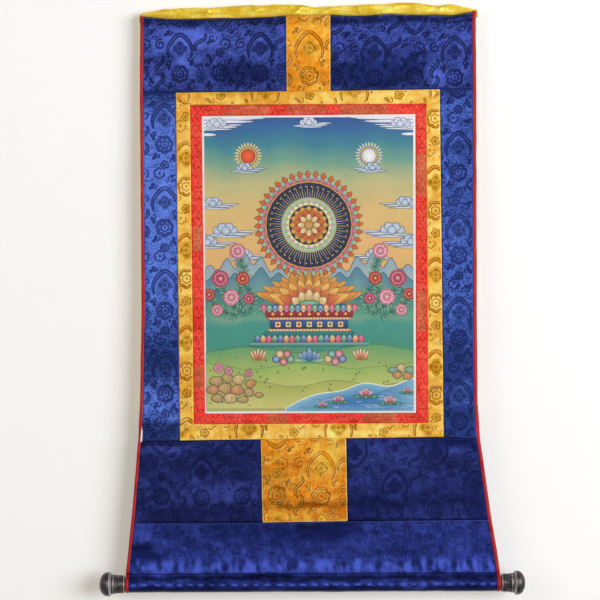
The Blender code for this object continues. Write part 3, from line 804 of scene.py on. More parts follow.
class Figure:
    """Shapes gathered for one object over one panel: flat points with their lift, and colours if painted."""

    def __init__(self, panel, margin=0.9, cloth=None):
        self.panel, self.margin, self.cloth = panel, margin, cloth or panel
        self.points, self.faces, self.paint, self.count = [], [], [], 0

    def add(self, x, v, lift, paint=None):
        rows, columns = x.shape
        self.points.append(np.stack([x, v, lift + 0 * x], axis=-1).reshape(-1, 3))
        self.faces.append(grid_faces(rows, columns) + self.count)
        if paint is not None:
            self.paint.append(np.broadcast_to(paint, (rows, columns, 3)).reshape(-1, 3))
        self.count += rows * columns

    def line(self, path, width, rise=0.14, lift=0.04):
        """Ribbon with a raised middle, along those parts of a path that lie in the panel."""
        kept = self.panel.inside(path[:, 0], path[:, 1], self.margin + width / 2)
        for start, end in runs(kept):
            if end - start < 3:
                continue
            run = path[start:end]
            side = normals(run)[:, None, :] * (np.array([-0.5, 0.0, 0.5]) * width)[None, :, None]
            flat = run[:, None, :] + side
            self.add(flat[..., 0], flat[..., 1], lift + rise * np.array([0.0, 1.0, 0.0])[None, :])

    def fill(self, outline):
        """Ground inside a closed outline, cut off at the panel's edges."""
        middle = outline[:-1].mean(axis=0)
        flat = middle + (outline[None, :, :] - middle) * np.linspace(0.0, 1.0, 6)[:, None, None]
        x, v = self.panel.clamp(flat[..., 0], flat[..., 1], self.margin)
        if (np.hypot(x - flat[..., 0], v - flat[..., 1]) <= 0.01).any():
            self.add(x, v, 0.05)

    def strip(self, path, width, lift):
        side = normals(path)[:, None, :] * (np.array([-0.5, 0.5])[None, :] * np.reshape(width, (-1, 1)))[..., None]
        flat = path[:, None, :] + side
        self.add(*self.panel.clamp(flat[..., 0], flat[..., 1], self.margin), lift)

    def build(self, name, material, slot):
        """Make one object of all that has been added, if anything has."""
        if not self.count:
            return
        flat = np.concatenate(self.points)
        faces = np.concatenate(self.faces)
        corners = flat[faces][..., :2]
        first, second = corners[:, 2] - corners[:, 0], corners[:, 3] - corners[:, 1]
        area = np.abs(first[:, 0] * second[:, 1] - first[:, 1] * second[:, 0])
        x, v, lift = flat.T
        points = on_cloth(x, v, self.cloth.relief(x, v) + lift)
        # Figures without colours of their own take the panel's painted light and shade
        paint = np.concatenate(self.paint) if self.paint else as_paint(self.panel.shade(x, v))
        dress(mesh_object(name, points, faces[area > 1e-3], [material], paint=paint))


# The brocades' woven figure: lines, grounds and bands of one repeat, about its middle

ARCH = ((-17, -8), (-18.5, 6), (-12, 19), (0, 28), (12, 19), (18.5, 6), (17, -8))
SCROLL = ((-17, 6), (-10, 9), (-2, 6), (3, -1), (9, -7), (17, -6))
TENDRIL = ((-30, 27), (-34, 24.5), (-40, 25.5), (-44, 22))
LEAFLET = ((0, 0), (3.4, 2.2), (8.0, 1.6), (11.0, -1.0))
HORNS = ((15, 47, 25, 1.0, True), (-15, 77, 60, 0.9), (14, 75, -80, 0.9), (-18, -21, 120, 0.9),
         (18, -15, -110, 0.9, True), (-20, 30, 50, 0.9))
DOTS = ((-6.4, 6), (6.4, 6), (0, 12.4), (0, -0.4), (-8, 51), (0, -33))


def horns(x, z, turn, size=1.0, flip=False):
    """Two curls that meet in a point, with a trailing leaf."""
    parts = [spiral(-3.6, 0.0, 0.5, 2.6, 88, -1.3), spiral(3.6, 0.0, 0.5, 2.6, 92, 1.3),
             smooth([(-1.2, -0.9), (-0.9, -2.2), (0.0, -3.6), (0.9, -2.2), (1.2, -0.9)]),
             smooth([(0.0, -3.6), (2.0, -6.0), (5.4, -6.4), (8.0, -4.6)])]
    return [moved(part, x, z, turn, size, flip) for part in parts]


def open_cloud(x, z, radius, turn):
    """Lobed outline, open on one side."""
    ring = lobes(0, 0, radius, 6, 0.26, 30)
    cut = len(ring) // 11
    return moved(ring[cut:-cut], x, z, turn)


def swelling(path, width):
    """Width along a band that narrows to a point at both ends."""
    return width * np.sqrt(np.sin(np.linspace(0.02, math.pi - 0.02, len(path))))


def motif():
    """One half of the repeat: heavy and fine lines, outlines of its grounds, and bands with their widths."""
    bands = [(smooth(ARCH), 4.6), (lobes(0, -33, 12.2, 7, 0.17, 90), 3.2)]
    bands += [(moved(smooth(SCROLL), *place, 0.85), 4.2) for place in ((-30, -19, 100), (32, 16, 80))]
    bold = []
    for path, width in bands:
        side = normals(path) * (swelling(path, width) / 2)[:, None]
        bold += [path + side, path - side]
    bold += [spiral(-30, 13, 1.6, 8.4, 200, -1.35), spiral(31, -24, 1.2, 6.2, 30, 1.4), open_cloud(-8, 51, 8.4, 40),
             lobes(0, 64, 6.4, 5, 0.28, 0), spiral(44, -6, 0.5, 3.0, 0, 1.5)]
    for place in HORNS:
        bold += horns(*place)
    bold += [spiral(-44, 32, 0.5, 2.9, 0, -1.5), spiral(20, -44, 0.5, 2.9, 180, 1.5),
             lobes(0, -33, 6.4, 6, 0.26, 0)]
    fine = [lobes(0, 6, 8.6, 4, 0.34, 45), spiral(0, 6, 0.4, 2.6, 0, 1.6), spiral(0, 64, 0.4, 2.8, 90, 1.6)]
    fine += [spiral(*place, 0.4, 1.8, 0, 1.4) for place in DOTS] + [smooth(TENDRIL)]
    fine += [moved(smooth(LEAFLET), *place) for place in ((24, -36, 20), (-20, -48, 160), (6, 38, 70))]
    grounds = [lobes(0, 6, 12.6, 4, 0.34, 45), lobes(0, 64, 6.2, 5, 0.28, 0, step=1.8)]
    return bold, fine, grounds, bands


REPEAT = (124.0, 128.0)
# The glint lies below and to the right of each heavy line
GLINT_OFFSET = np.array([0.75, -0.75])
# Where the repeat starts on each panel
SHIFTS = {
    "blue_top_left": (-178, -52), "blue_top_right": (92, -58), "blue_side_left": (-200, -150),
    "blue_side_right": (208, -190), "blue_lower_left": (-150, -640), "blue_lower_right": (118, -660),
    "gold_top_strip": (2, -52), "gold_lower_panel": (16, -636), "gold_frame_top": (-60, -112),
    "gold_frame_foot": (40, -580), "gold_frame_left": (-170, -205), "gold_frame_right": (176, -240),
}


def copies(panel, size):
    """Places of the half-drop repeat over a panel, and the turn of each: every other column hangs upside down."""
    shift = SHIFTS[panel.name]
    half, high = REPEAT[0] * size / 2, REPEAT[1] * size
    middle_z = panel.foot(0.0)
    low_x, high_x = float(panel.left(middle_z)) - 20, float(panel.right(middle_z)) + 20
    xs = np.array([low_x, high_x])
    low_z, high_z = float(np.min(panel.foot(xs))), float(np.max(panel.top(xs)))
    rows = range(math.floor((low_z - shift[1]) / high) - 2, math.ceil((high_z - shift[1]) / high) + 2)
    for column in range(math.floor((low_x - shift[0]) / half) - 2, math.ceil((high_x - shift[0]) / half) + 2):
        for row in rows:
            yield shift[0] + column * half, shift[1] + (row + 0.5 * (column % 2)) * high, 180 * (column % 2)


def add_brocade(panel, size, widths, looks, slot):
    """Woven figure over a panel: heavy lines with a glint beside them, fine lines, grounds and bands."""
    heavy, light, ground, band, glint = figures = [Figure(panel) for _ in looks]
    bold_width, fine_width, glint_width = widths
    aside = GLINT_OFFSET * (bold_width + glint_width) / 2
    bold, fine, grounds, bands = motif()
    for x, z, turn in copies(panel, size):
        def laid(paths):
            return filter(panel.near, (moved(path, x, z, turn, size) for path in paths))
        for path in laid(bold):
            heavy.line(path, bold_width)
            if glint_width:
                glint.line(path + aside, glint_width, 0.06, 0.02)
        for path in laid(fine):
            light.line(path, fine_width)
        for path in laid(grounds):
            ground.fill(path)
        for middle, width in bands:
            for path in laid([middle]):
                band.strip(path, swelling(path, width * size), 0.03)
    for figure, name, look in zip(figures, ("bold", "fine", "ground", "band", "glint"), looks):
        figure.build("figure_%s_%s" % (name, panel.name), FIGURE[look], slot)


def add_gold_edges(panel):
    """Lighter line along the turned edges of a gold piece: its lighter edge threads, and a painted highlight where
    the turned edge catches the light.
    """
    edges = Figure(panel, 0.0)
    inset = 0.75
    z = np.arange(float(panel.foot(0.0)) + inset + 0.6, float(panel.top(0.0)) - inset, 1.5)
    for x in (panel.left(z) + inset, panel.right(z) - inset):
        edges.line(np.stack([x, z], axis=1)[::-1], 0.9, 0.12)
    if panel.name == "gold_lower_panel":
        x = np.arange(float(panel.left(z[0])) + inset, float(panel.right(z[0])) - inset, 1.5)
        edges.line(np.stack([x, panel.foot(x) + inset], axis=1), 0.9, 0.12)
    edges.build("edge_threads_and_highlight_" + panel.name, FIGURE["gold_figure_light"], "gold_brocade")


def add_brocades():
    # Side strips take lighter figures as painted sheen, lower panels faint dark ones as painted shade
    for panel in BLUE_PANELS:
        if "top" in panel.name:
            line, ground, widths = "blue_figure_threads", "blue_figure_ground", (2.4, 1.2, 0.6)
        elif "side" in panel.name:
            line, ground, widths = "blue_figure_strips", "blue_strip_ground", (2.3, 1.3, 0.5)
        else:
            line, ground, widths = "blue_figure_faint", "blue_figure_faint", (1.6, 0.7, 0.0)
        add_brocade(panel, 0.9, widths, (line, line, ground, ground, "blue_figure_light"), "blue_brocade")
    looks = ["gold_figure_" + name for name in ("threads", "threads", "ground", "band", "light")]
    for panel in GOLD_PANELS:
        add_brocade(panel, 1.0, (1.1, 0.7, 0.6), looks, "gold_brocade")
        if panel.name in ("gold_top_strip", "gold_lower_panel"):
            add_gold_edges(panel)


add_brocades()


# Small scrolls of the red border, in close and in open stretches

RED_PITCH = 7.4
# Close stretches along each strip: start and end along x or z
CLOSE_STRETCHES = {
    "red_frame_top": ((-118, -54), (-31, 25), (42, 111)),
    "red_frame_foot": ((-60, -28), (72, 122)),
    "red_frame_left": ((-330, -292), (-520, -486)),
    "red_frame_right": ((-252, -192), (-442, -381)),
}


def close_ground(panel, upright, low, high):
    """Ground of a close stretch, with scalloped ends."""
    count = max(6, round((high - low) / 2.5))
    place = np.linspace(0, 1, count + 1)[:, None]
    share = np.linspace(-0.5, 0.5, 9)[None, :]
    bulge = 2.4 * np.abs(np.sin(share * 3 * math.pi))
    run = low + bulge + (high - low - 2 * bulge) * place
    if upright:
        return (panel.left(run) + panel.right(run)) / 2 + share * 12.4, run[::-1]
    return run, (panel.top(run) + panel.foot(run)) / 2 + share * 12.4


def add_red_scrolls(panel):
    light, dark, ground = figures = [Figure(panel, 1.2) for _ in range(3)]
    stretches = CLOSE_STRETCHES[panel.name]
    upright = panel.name.endswith(("left", "right"))
    curl = even(spiral(0, 0, 0.4, 2.5, 0, 1.6), 0.9)
    tail = smooth([(2.5, -0.2), (3.2, 2.0), (2.0, 4.2), (4.2, 5.4)])
    leaf = smooth([(-3.6, 0.2), (-2.6, 1.8), (-0.6, 3.4), (-1.6, 1.0)], closed=True, step=0.8)
    for row, z in enumerate(np.arange(-572, -118, RED_PITCH * 0.72), 1):
        for x in np.arange(-168, 170, RED_PITCH) + (row % 2) * RED_PITCH / 2:
            turn = 137.5 * row + 53 * (x // RED_PITCH)
            path = moved(curl, x, z, turn)
            if not panel.near(path):
                continue
            close = any(low < (z if upright else x) < high for low, high in stretches)
            light.line(path, 0.6 if close else 0.42, 0.12)
            if close or row % 2:
                light.line(moved(tail, x, z, turn), 0.4, 0.12)
            if not close or row % 3 == 0:
                dark.line(moved(leaf, x, z, turn), 0.5, 0.08)
    for low, high in stretches:
        ground.add(*close_ground(panel, upright, low, high), 0.04)
    for figure, name, look in zip(figures, ("light", "dark", "ground"), ("threads", "dark", "ground")):
        figure.build("scrolls_%s_%s" % (name, panel.name), FIGURE["red_figure_" + look], "red_brocade")


for border in RED_PANELS:
    add_red_scrolls(border)


# The painting: a lotus wheel over a landscape, laid out afresh in flat painted shapes


def hue(code):
    """Linear colour of a six-digit screen colour."""
    parts = [int(code[index:index + 2], 16) / 255 for index in (0, 2, 4)]
    return np.array([part / 12.92 if part <= 0.04045 else ((part + 0.055) / 1.055) ** 2.4 for part in parts])


def mixed(first, second, share):
    return first * (1 - share) + second * share


def round_about(count, start=0.0):
    """Unit vectors evenly round a circle, from a share of their spacing."""
    turns = TAU * (np.arange(count) + start) / count
    return np.stack([np.cos(turns), np.sin(turns)], axis=1)


def spread(middle, count, pitch):
    """Places in an even row about a middle."""
    return middle + (np.arange(count) - (count - 1) / 2) * pitch


INK, NIGHT, BLUE_PAINT, PALE_BLUE = map(hue, ("1b2233", "1c2b4e", "2a5c9c", "a9bdd0"))
SKY_WHITE, TEAL, LEAF, MINT, CREAM = map(hue, ("eceaf0", "2f7f7c", "2f8f74", "b8d3a8", "efe2b4"))
GOLD_PAINT, ORANGE, VERMILION, CRIMSON = map(hue, ("d9a441", "d9722b", "c23a24", "a8242c"))
PINK, ROSE, SAND, EARTH, LIME = map(hue, ("e58fa0", "d0506a", "cdb078", "8a5a34", "b9b75c"))

# Height and colour down the background, from sky to meadow
BACKDROP = (
    (-142, "2b4f8c"), (-158, "2c6494"), (-180, "3a7f8c"), (-204, "6f9c84"), (-232, "b9b47c"), (-270, "d8b673"),
    (-330, "dfae6a"), (-384, "d3a868"), (-404, "9fae8a"), (-430, "3f9080"), (-462, "3c8a72"), (-486, "7fa060"),
    (-515, "b7b864"), (-552, "a9a95a"),
)
PAINTED_SIDES = (lambda z: -145.2 + (z + 140) * -0.0055, lambda z: 145.4 + (z + 140) * 0.002,
                 level(-142.4), level(-550.2))
PAINTED = Panel("painted_canvas", PAINTED_SIDES, 290, 408, CANVAS_LIFT)
LAYER = 0.008


class Painting(Figure):
    """Painted shapes in thin layers; each layer lies on the ones before it."""

    def __init__(self):
        super().__init__(PAINTED, 0.0, CANVAS_PANEL)
        self.layer = self.highest = 0.08

    def rise(self, share=1.0):
        self.layer += LAYER * share

    def over(self):
        """Go on above all that has been painted so far."""
        self.layer = self.highest + LAYER

    @contextmanager
    def apart(self):
        """Paint something that overlaps nothing of what comes next."""
        start = self.layer
        yield
        self.layer = start

    def put(self, flat, paint):
        x, z = self.panel.clamp(flat[..., 0], flat[..., 1], 0.0)
        self.add(x, z, self.layer, paint)
        self.highest = max(self.highest, self.layer)

    def edge(self, path, width=0.55, ink=INK, taper=False):
        widths = np.full(len(path), width)
        if taper:
            widths = widths * np.sin(np.linspace(0.12, math.pi - 0.05, len(path)))
        side = normals(path)[:, None, :] * np.array([-0.5, 0.5])[None, :, None] * widths[:, None, None]
        self.layer += LAYER / 2
        self.put(path[:, None, :] + side, ink)
        self.layer -= LAYER / 2

    def spot(self, outline, inner, outer, rings=4, middle=None, ink=INK, width=0.55):
        """Shape inside a closed outline, shaded from its middle to its rim."""
        middle = outline[:-1].mean(axis=0) if middle is None else np.asarray(middle)
        rings = max(rings, math.ceil(np.hypot(*(outline - middle).T).max() / 3.0))
        share = np.linspace(0.0, 1.0, rings + 1)[:, None, None]
        self.put(middle + (outline[None, :, :] - middle) * share, mixed(inner, outer, share ** 1.6))
        if ink is not None:
            self.edge(outline, width, ink)

    def circle(self, x, z, radius, inner, outer, ink=INK, width=0.55):
        outline = lobes(x, z, radius, 1, 0.0, step=min(2.4, max(0.8, radius / 7)))
        self.spot(outline, inner, outer, ink=ink, width=width)

    def petal(self, base, tip, width, root, end, ink=INK, shape=0.8):
        """Petal or leaf from its base to its pointed tip."""
        base, tip = np.asarray(base, float), np.asarray(tip, float)
        run = tip - base
        across = np.array([-run[1], run[0]]) / max(np.hypot(*run), 1e-6)
        t = np.linspace(0, 1, max(9, math.ceil(np.hypot(*run) / 3.0)))
        half = width / 2 * np.sin(math.pi * t ** shape) ** 0.75
        half[0], half[-1] = width * 0.12, 0.02
        share = np.linspace(-1, 1, 5)
        flat = base + run * t[:, None, None] + across * (half[:, None] * share[None, :])[..., None]
        self.put(flat, mixed(root, end, t[:, None, None] ** 1.3) * (1 - 0.22 * np.abs(share)[None, :, None]))
        if ink is not None:
            self.edge(np.concatenate([flat[:, 0], flat[::-1, -1]]), 0.4, ink)

    def crown(self, x, z, count, reach, width, root, end, start=0.0, lean=0.0, **how):
        """Petals round a middle, from one distance to another."""
        for out in round_about(count, start):
            aside = np.array([-out[1], out[0]]) * lean
            self.petal((x, z) + out * reach[0], (x, z) + out * reach[1] + aside, width, root, end, **how)

    def beads(self, x, z, count, reach, radius, inner, outer):
        for out in round_about(count):
            self.circle(*((x, z) + out * reach), radius, inner, outer, ink=None)

    def ring(self, x, z, inner, outer, first, second):
        share = np.linspace(0, 1, 5)[:, None, None]
        circle = np.concatenate([round_about(108), [[1.0, 0.0]]])
        self.put((x, z) + circle * mixed(inner, outer, share), mixed(first, second, share))

    def slope(self, heights, foot, span, drop, steps, top, low, step, width, ink=INK):
        """Shaded ground from an inked ridge down to a level floor."""
        ridge = smooth(np.stack([np.linspace(*span, len(heights)), foot + heights], axis=1), step=step)
        ridge = ridge if ridge[0, 0] < ridge[-1, 0] else ridge[::-1]
        floor = np.stack([ridge[:, 0], np.full(len(ridge), foot - drop)], axis=1)
        share = np.linspace(0, 1, steps)[:, None, None]
        self.put(mixed(ridge, floor, share), mixed(hue(top), hue(low), share))
        self.edge(ridge, width, ink)

    def finish(self, name):
        """Make one object of what has been painted since the last one."""
        self.build(name, PAINT, "painted_canvas")
        self.points, self.faces, self.paint, self.count = [], [], [], 0


def paint_backdrop(art):
    x, z = PAINTED.grid(np.linspace(0, PAINTED.width, 90), np.linspace(0, PAINTED.length, 126))
    shifted = z + 3.0 * np.sin(x / 23) + 2.0 * np.sin(x / 9.5 + 1) + 1.5 * ripple(x, z, 20, 71)
    heights, codes = zip(*reversed(BACKDROP))
    parts = np.array([hue(code) for code in codes]).T
    art.add(x, z, art.layer - 0.02, np.stack([np.interp(shifted, heights, part) for part in parts], axis=-1))


# Middle, reach and height of a cloud's tails, and middle and radius of its curls
CLOUD_TAILS = ((14, -3.4, 17, 1.5), (-10, -4.6, 15, 1.4), (24, -0.6, 14, 1.1), (4, -6.4, 20, 1.2))
CLOUD_CURLS = ((-9, 0.5, 5.0), (9, 1.0, 4.6), (-3.6, 3.6, 5.6), (4.2, 4.4, 5.2), (0.4, 0.4, 5.0))
# Reach, height and breadth of the bands in the sky's corners
CORNER_BANDS = ((64, -143, 3.4), (52, -148, 2.6), (34, -153, 2.8), (24, -158.5, 2.2), (14, -166, 2.4))


def paint_cloud(art, x, z, size, flip=False, inner=SKY_WHITE, outer=PALE_BLUE):
    """Heap of curled cloud with long level tails."""
    side = -1 if flip else 1
    for dx, dz, reach, high in CLOUD_TAILS:
        tail = lobes(x + side * dx * size, z + dz * size, reach * size, 2, 0.05, 0, high / reach, step=2.2)
        art.spot(tail, inner, outer, 2, width=0.45)
        art.rise()
    for dx, dz, radius in CLOUD_CURLS:
        place = (x + side * dx * size, z + dz * size)
        art.spot(lobes(*place, radius * size, 5, 0.16, 20), inner, outer, 3, width=0.5)
        art.edge(moved(spiral(0, 0, 0.3, 2.6, 200, 1.3), *place, 0, size, flip), 0.4, hue("5d7391"))
        art.rise()


def paint_sky_corners(art):
    for side in (-1, 1):
        with art.apart():
            for row, (reach, z, high) in enumerate(CORNER_BANDS):
                x = side * (147 - 0.42 * reach)
                band = lobes(x, z, reach, 9, 0.12, 7 * row, high / reach, step=3.0)
                art.spot(band, SKY_WHITE, hue("c4cbe0"), 2)
                art.rise()
            paint_cloud(art, side * 128, -152, 1.0, side > 0)
    paint_cloud(art, 0, -150, 0.9)


def paint_sun_and_moon(art):
    discs = ((-84, hue("e8632c"), VERMILION, GOLD_PAINT), (84, hue("f3efe4"), hue("c9cfd8"), hue("9db6c8")))
    for x, inner, outer, rays in discs:
        with art.apart():
            art.crown(x, -196, 24, (10.5, 19.5), 2.8, rays, CREAM, ink=None)
            art.rise()
            for disc in ((12.5, CREAM, GOLD_PAINT), (10.0, inner, outer)):
                art.circle(x, -196, *disc, width=0.7)
                art.rise()
            paint_cloud(art, x + 5 * np.sign(x), -213, 0.85, x > 0, hue("dfe3e6"), hue("7f9ab3"))


def paint_cloud_bank(art):
    """Clouds at rest on the far hills."""
    for side in (-1, 1):
        for x, z, size in ((134, -262, 1.0), (116, -300, 1.25), (142, -316, 1.1), (92, -334, 1.0)):
            paint_cloud(art, side * x, z, size, side > 0, hue("d9dde0"), hue("8ba3b8"))


# Foot, colours from top to floor, and heights along each ridge
FAR_HILLS = (
    (-362, "8aa3b0", "b9b995", (0, 12, 5, 19, 8, 26, 12, 20, 4, 10, 0)),
    (-378, "4f7f93", "7fa892", (4, 10, 20, 8, 16, 5, 12, 22, 10, 16, 6)),
    (-394, "2f6f74", "5f9f7f", (14, 6, 12, 4, 8, 2, 6, 4, 12, 8, 16)),
)
MEADOWS = (
    (-470, "5f9a62", "a9b25c", (0, 5, 9, 6, 2, 0, 4, 9, 12, 8, 3)),
    (-492, "8fae58", "c0bd68", (10, 6, 0, 2, 7, 9, 5, 0, 3, 6, 9)),
    (-516, "a3aa52", "c9bf70", (2, 8, 10, 6, 0, 2, 8, 6, 0, 4, 2)),
)


def paint_far_hills(art):
    for foot, top, low, heights in FAR_HILLS:
        for side in (-1, 1):
            art.slope(np.array(heights) * 1.25, foot, (side * 150, side * 30), 26.0, 18, top, low, 2.0, 0.6)
        art.rise()


def paint_meadow(art):
    for foot, top, low, heights in MEADOWS:
        art.slope(np.array(heights), foot, (-150, 150), 30.0, 12, top, low, 2.5, 0.5, hue("4b6a34"))
        art.rise()
    draw = np.random.default_rng(91)
    for _ in range(70):
        x, z = draw.uniform(-140, 140), draw.uniform(-545, -474)
        for lean in (-2.2, -0.8, 0.8, 2.2):
            art.petal((x, z), (x + lean, z + draw.uniform(3.0, 5.0)), 1.0, hue("3f7a48"), LIME, ink=None)
    art.rise()


def paint_wheel(art, x, z):
    """Round aureole: flame petals, a dark field with fine gold rays, and a pale ring about a lotus."""
    flames = ((76, VERMILION, ORANGE), (71, TEAL, MINT), (66.5, CRIMSON, PINK))
    for rank, (reach, first, second) in enumerate(flames):
        art.crown(x, z, 40, (56, reach), 9.4, first, second, rank / 2, 1.6)
        art.rise()
    art.circle(x, z, 60, NIGHT, hue("16203c"), GOLD_PAINT, 1.2)
    art.rise()
    for index, out in enumerate(round_about(84, 0.5)):
        end, tone = (57.5, GOLD_PAINT) if index % 2 else (50.0, hue("8fb0b4"))
        art.edge((x, z) + out * np.linspace(30, end, 6)[:, None], 0.75, tone, taper=True)
    art.beads(x, z, 42, 53.5, 0.9, CREAM, GOLD_PAINT)
    art.rise()
    art.ring(x, z, 28, 38, hue("dfe3b0"), hue("86b38c"))
    art.rise()
    for radius, tone in ((28, GOLD_PAINT), (33, hue("4f8a70")), (38, GOLD_PAINT)):
        art.edge(lobes(x, z, radius, 1, 0.0, step=1.5), 0.7, tone)
    art.crown(x, z, 24, (29, 36), 3.4, PINK, CREAM)
    art.rise()


def paint_heart_lotus(art, x, z):
    """Lotus seen from above, in the wheel's middle."""
    tones = ((27, 16, ORANGE, GOLD_PAINT), (22, 12, VERMILION, ORANGE), (16, 8, GOLD_PAINT, CREAM))
    for rank, (reach, count, first, second) in enumerate(tones):
        art.crown(x, z, count, (3, reach), reach * 0.5, first, second, rank / 2, shape=1.15)
        art.rise()
    art.circle(x, z, 6.5, GOLD_PAINT, hue("b97a26"), width=0.6)
    art.rise()
    for radius, count in ((2.2, 6), (4.6, 12)):
        art.beads(x, z, count, radius, 0.7, LEAF, TEAL)


def paint_great_lotus(art, x, z):
    """Open lotus from the side, under the wheel."""
    ranks = ((78, 44, 13, 16, ORANGE, GOLD_PAINT), (68, 40, 11, 17, VERMILION, hue("e39a3f")),
             (56, 33, 9, 17, ORANGE, hue("f0c45c")), (42, 25, 7, 16, CRIMSON, hue("e88a3a")),
             (24, 18, 5, 13, GOLD_PAINT, CREAM))
    for reach, high, count, width, first, second in ranks:
        for place in sorted(np.linspace(-1, 1, count), key=lambda value: -abs(value)):
            base = np.array([x + place * 12, z])
            tip = np.array([x + place * reach, z + (high * math.cos(place * 1.25) + 3)])
            art.petal(base, tip, width, first, second)
            art.edge(mixed(base, tip, np.linspace(0.15, 0.8, 8)[:, None]), 0.35, first * 0.6, taper=True)
            art.rise(0.25)
        art.rise()
    art.spot(lobes(x, z + 1, 15, 1, 0, 0, 0.32), hue("8fc28a"), LEAF, 2)
    art.rise()


# Half width, top, height and colours of the stand's bands, and colours of its petals
STAND_BANDS = (
    (68, 0, 5, MINT, TEAL), (60, -5, 9, CRIMSON, hue("7d1f2a")), (56, -14, 4, GOLD_PAINT, ORANGE),
    (53, -18, 12, BLUE_PAINT, NIGHT), (56, -30, 4, GOLD_PAINT, ORANGE), (62, -34, 8, TEAL, hue("1f5b5c")),
    (74, -42, 7, VERMILION, CRIMSON), (82, -49, 5, hue("7fae98"), TEAL),
)
STAND_PETALS = ((ROSE, PINK), (TEAL, MINT), (BLUE_PAINT, PALE_BLUE), (ORANGE, CREAM))


def paint_pedestal(art, x, z):
    """Stepped stand: rows of upright and hanging petals, beads and painted bands."""
    share = np.linspace(0, 1, 4)[:, None]
    across = np.linspace(-1, 1, 31)[None, :]
    for half, top, high, first, second in STAND_BANDS:
        flare = half + 1.5 * np.sin(math.pi * share)
        flat = np.stack([x + across * flare, z + top - high * share + 0 * across], axis=-1)
        art.put(flat, mixed(first, second, share[..., None]))
        art.edge(flat[0], 0.5)
        art.edge(flat[-1], 0.5)
    art.rise()
    for index, place in enumerate(spread(x, 17, 7.9)):
        first, second = STAND_PETALS[index % 4]
        art.petal((place, z + 4.5), (place, z - 7.5), 8.6, first, second, shape=0.7)
        with art.apart():
            art.rise()
            art.petal((place, z + 2.0), (place, z - 5.0), 4.6, second, first, shape=0.7, ink=None)
    for index, place in enumerate(spread(x, 19, 8.0), 2):
        art.petal((place, z - 49), (place, z - 38.5), 8.8, *STAND_PETALS[index % 4], shape=0.7)
    art.rise()
    for drop in (16, 32):
        for place in spread(x, 24, 4.6):
            art.circle(place, z - drop, 1.3, SKY_WHITE, CREAM, width=0.3)
    for index, place in enumerate(spread(x, 7, 14.5)):
        art.spot(lobes(place, z - 24, 5.0, 4, 0.3, 0), CREAM, GOLD_PAINT, 3)
        with art.apart():
            art.rise()
            art.circle(place, z - 24, 1.8, *((VERMILION, CRIMSON), (LEAF, TEAL))[index % 2])
    for place in spread(x, 9, 12.6):
        art.spot(lobes(place, z - 9.5, 3.0, 4, 0.35, 45), hue("e9b65a"), ORANGE, 2, width=0.4)
    art.rise()


def paint_leafy_stem(art, points, seed):
    """Curving stem with pairs of pointed leaves."""
    draw = np.random.default_rng(seed)
    path = smooth(points, step=4.6)
    art.edge(smooth(points), 0.9, hue("27604f"))
    art.rise()
    for index, (place, run) in enumerate(zip(path, np.gradient(path, axis=0))):
        tone = (LEAF, TEAL, hue("4fa57e"), hue("1f6a6c"))[index % 4]
        run = run / max(np.hypot(*run), 1e-6)
        for side in (-1, 1):
            out = moved(run, turn=side * draw.uniform(38, 70)) * draw.uniform(8, 12)
            art.petal(place, place + out, 3.8, tone, hue("9cc79a"))
            art.edge(place + out * np.linspace(0.1, 0.8, 5)[:, None], 0.3, hue("17494a"), taper=True)
            art.rise(0.12)


def paint_peony(art, x, z, radius, tones):
    """Full flower of cupped petals round a gold middle."""
    for rank, (share, count) in enumerate(((1.0, 9), (0.78, 8), (0.55, 7), (0.33, 5))):
        inner, outer = tones[rank % 2:rank % 2 + 2]
        reach = radius * share
        for index, out in enumerate(round_about(count, rank * 0.37)):
            turn = 360 * (index + rank * 0.37) / count
            outline = lobes(*((x, z) + out * reach * 0.55), reach * 0.46, 3, 0.10, turn, step=1.5)
            art.spot(outline, inner, outer, 2, width=0.35, ink=hue("6b1f36"))
            art.rise(0.15)
        art.rise(0.6)
    art.circle(x, z, radius * 0.15, CREAM, GOLD_PAINT, width=0.3)
    art.rise()


PINKS = (ROSE, PINK, hue("f5d5d8"))
REDS = (hue("8e1f3c"), ROSE, PINK)
WARM = (CRIMSON, VERMILION, hue("ee9a6a"))
STEMS = (((88, -418), (98, -390), (90, -360), (100, -330)), ((92, -415), (112, -396), (122, -370)),
         ((84, -414), (78, -392), (92, -372)), ((100, -418), (126, -408), (138, -392)))
FLOWERS = ((99, -328, 11, PINKS), (123, -366, 12, REDS), (92, -366, 9.5, WARM), (108, -392, 11.5, PINKS),
           (139, -388, 8.5, WARM), (84, -394, 8, REDS), (128, -410, 8.5, PINKS))


def paint_bushes(art):
    for side in (-1, 1):
        with art.apart():
            for index, stem in enumerate(STEMS):
                paint_leafy_stem(art, np.array(stem) * (side, 1), 80 + index + 10 * (side > 0))
            art.rise()
            for x, z, radius, tones in FLOWERS:
                with art.apart():
                    paint_peony(art, side * x, z, radius, tones)


def paint_rocks(art, x, z, rocks, seed):
    """Heap of rounded rocks with inked cracks."""
    draw = np.random.default_rng(seed)
    for dx, dz, radius in rocks:
        middle = np.array([x + dx, z + dz])
        reach = radius * draw.uniform(0.78, 1.12, 9)
        outline = smooth(middle + round_about(9) * (1, 0.72) * reach[:, None], closed=True, step=1.2)
        tone = (SAND, hue("b99a62"), hue("7fa08a"), hue("c98f5a"))[int(draw.integers(4))]
        art.spot(outline, tone * 1.15, tone * 0.62, 4, middle + (-radius * 0.2, radius * 0.25))
        for _ in range(2):
            start = middle + (draw.uniform(-0.5, 0.5) * radius, 0.4 * radius)
            first, second = (draw.uniform(-2, 2), -radius * 0.3), (draw.uniform(-2, 3), -radius * 0.7)
            art.edge(smooth([start, start + first, start + second]), 0.4, EARTH * 0.6, taper=True)
        art.rise()


SHORE = ((-30, -552), (-18, -538), (10, -527), (44, -522), (76, -512), (112, -516), (146, -506), (152, -530),
         (150, -556), (60, -558))
WAVE = np.array([(-1, 0), (-0.5, 1.1), (0, 0), (0.5, 1.1), (1, 0)])
LILIES = ((40, -536, 1.0), (78, -528, 1.2), (112, -538, 1.1), (18, -543, 0.8), (136, -524, 0.8))


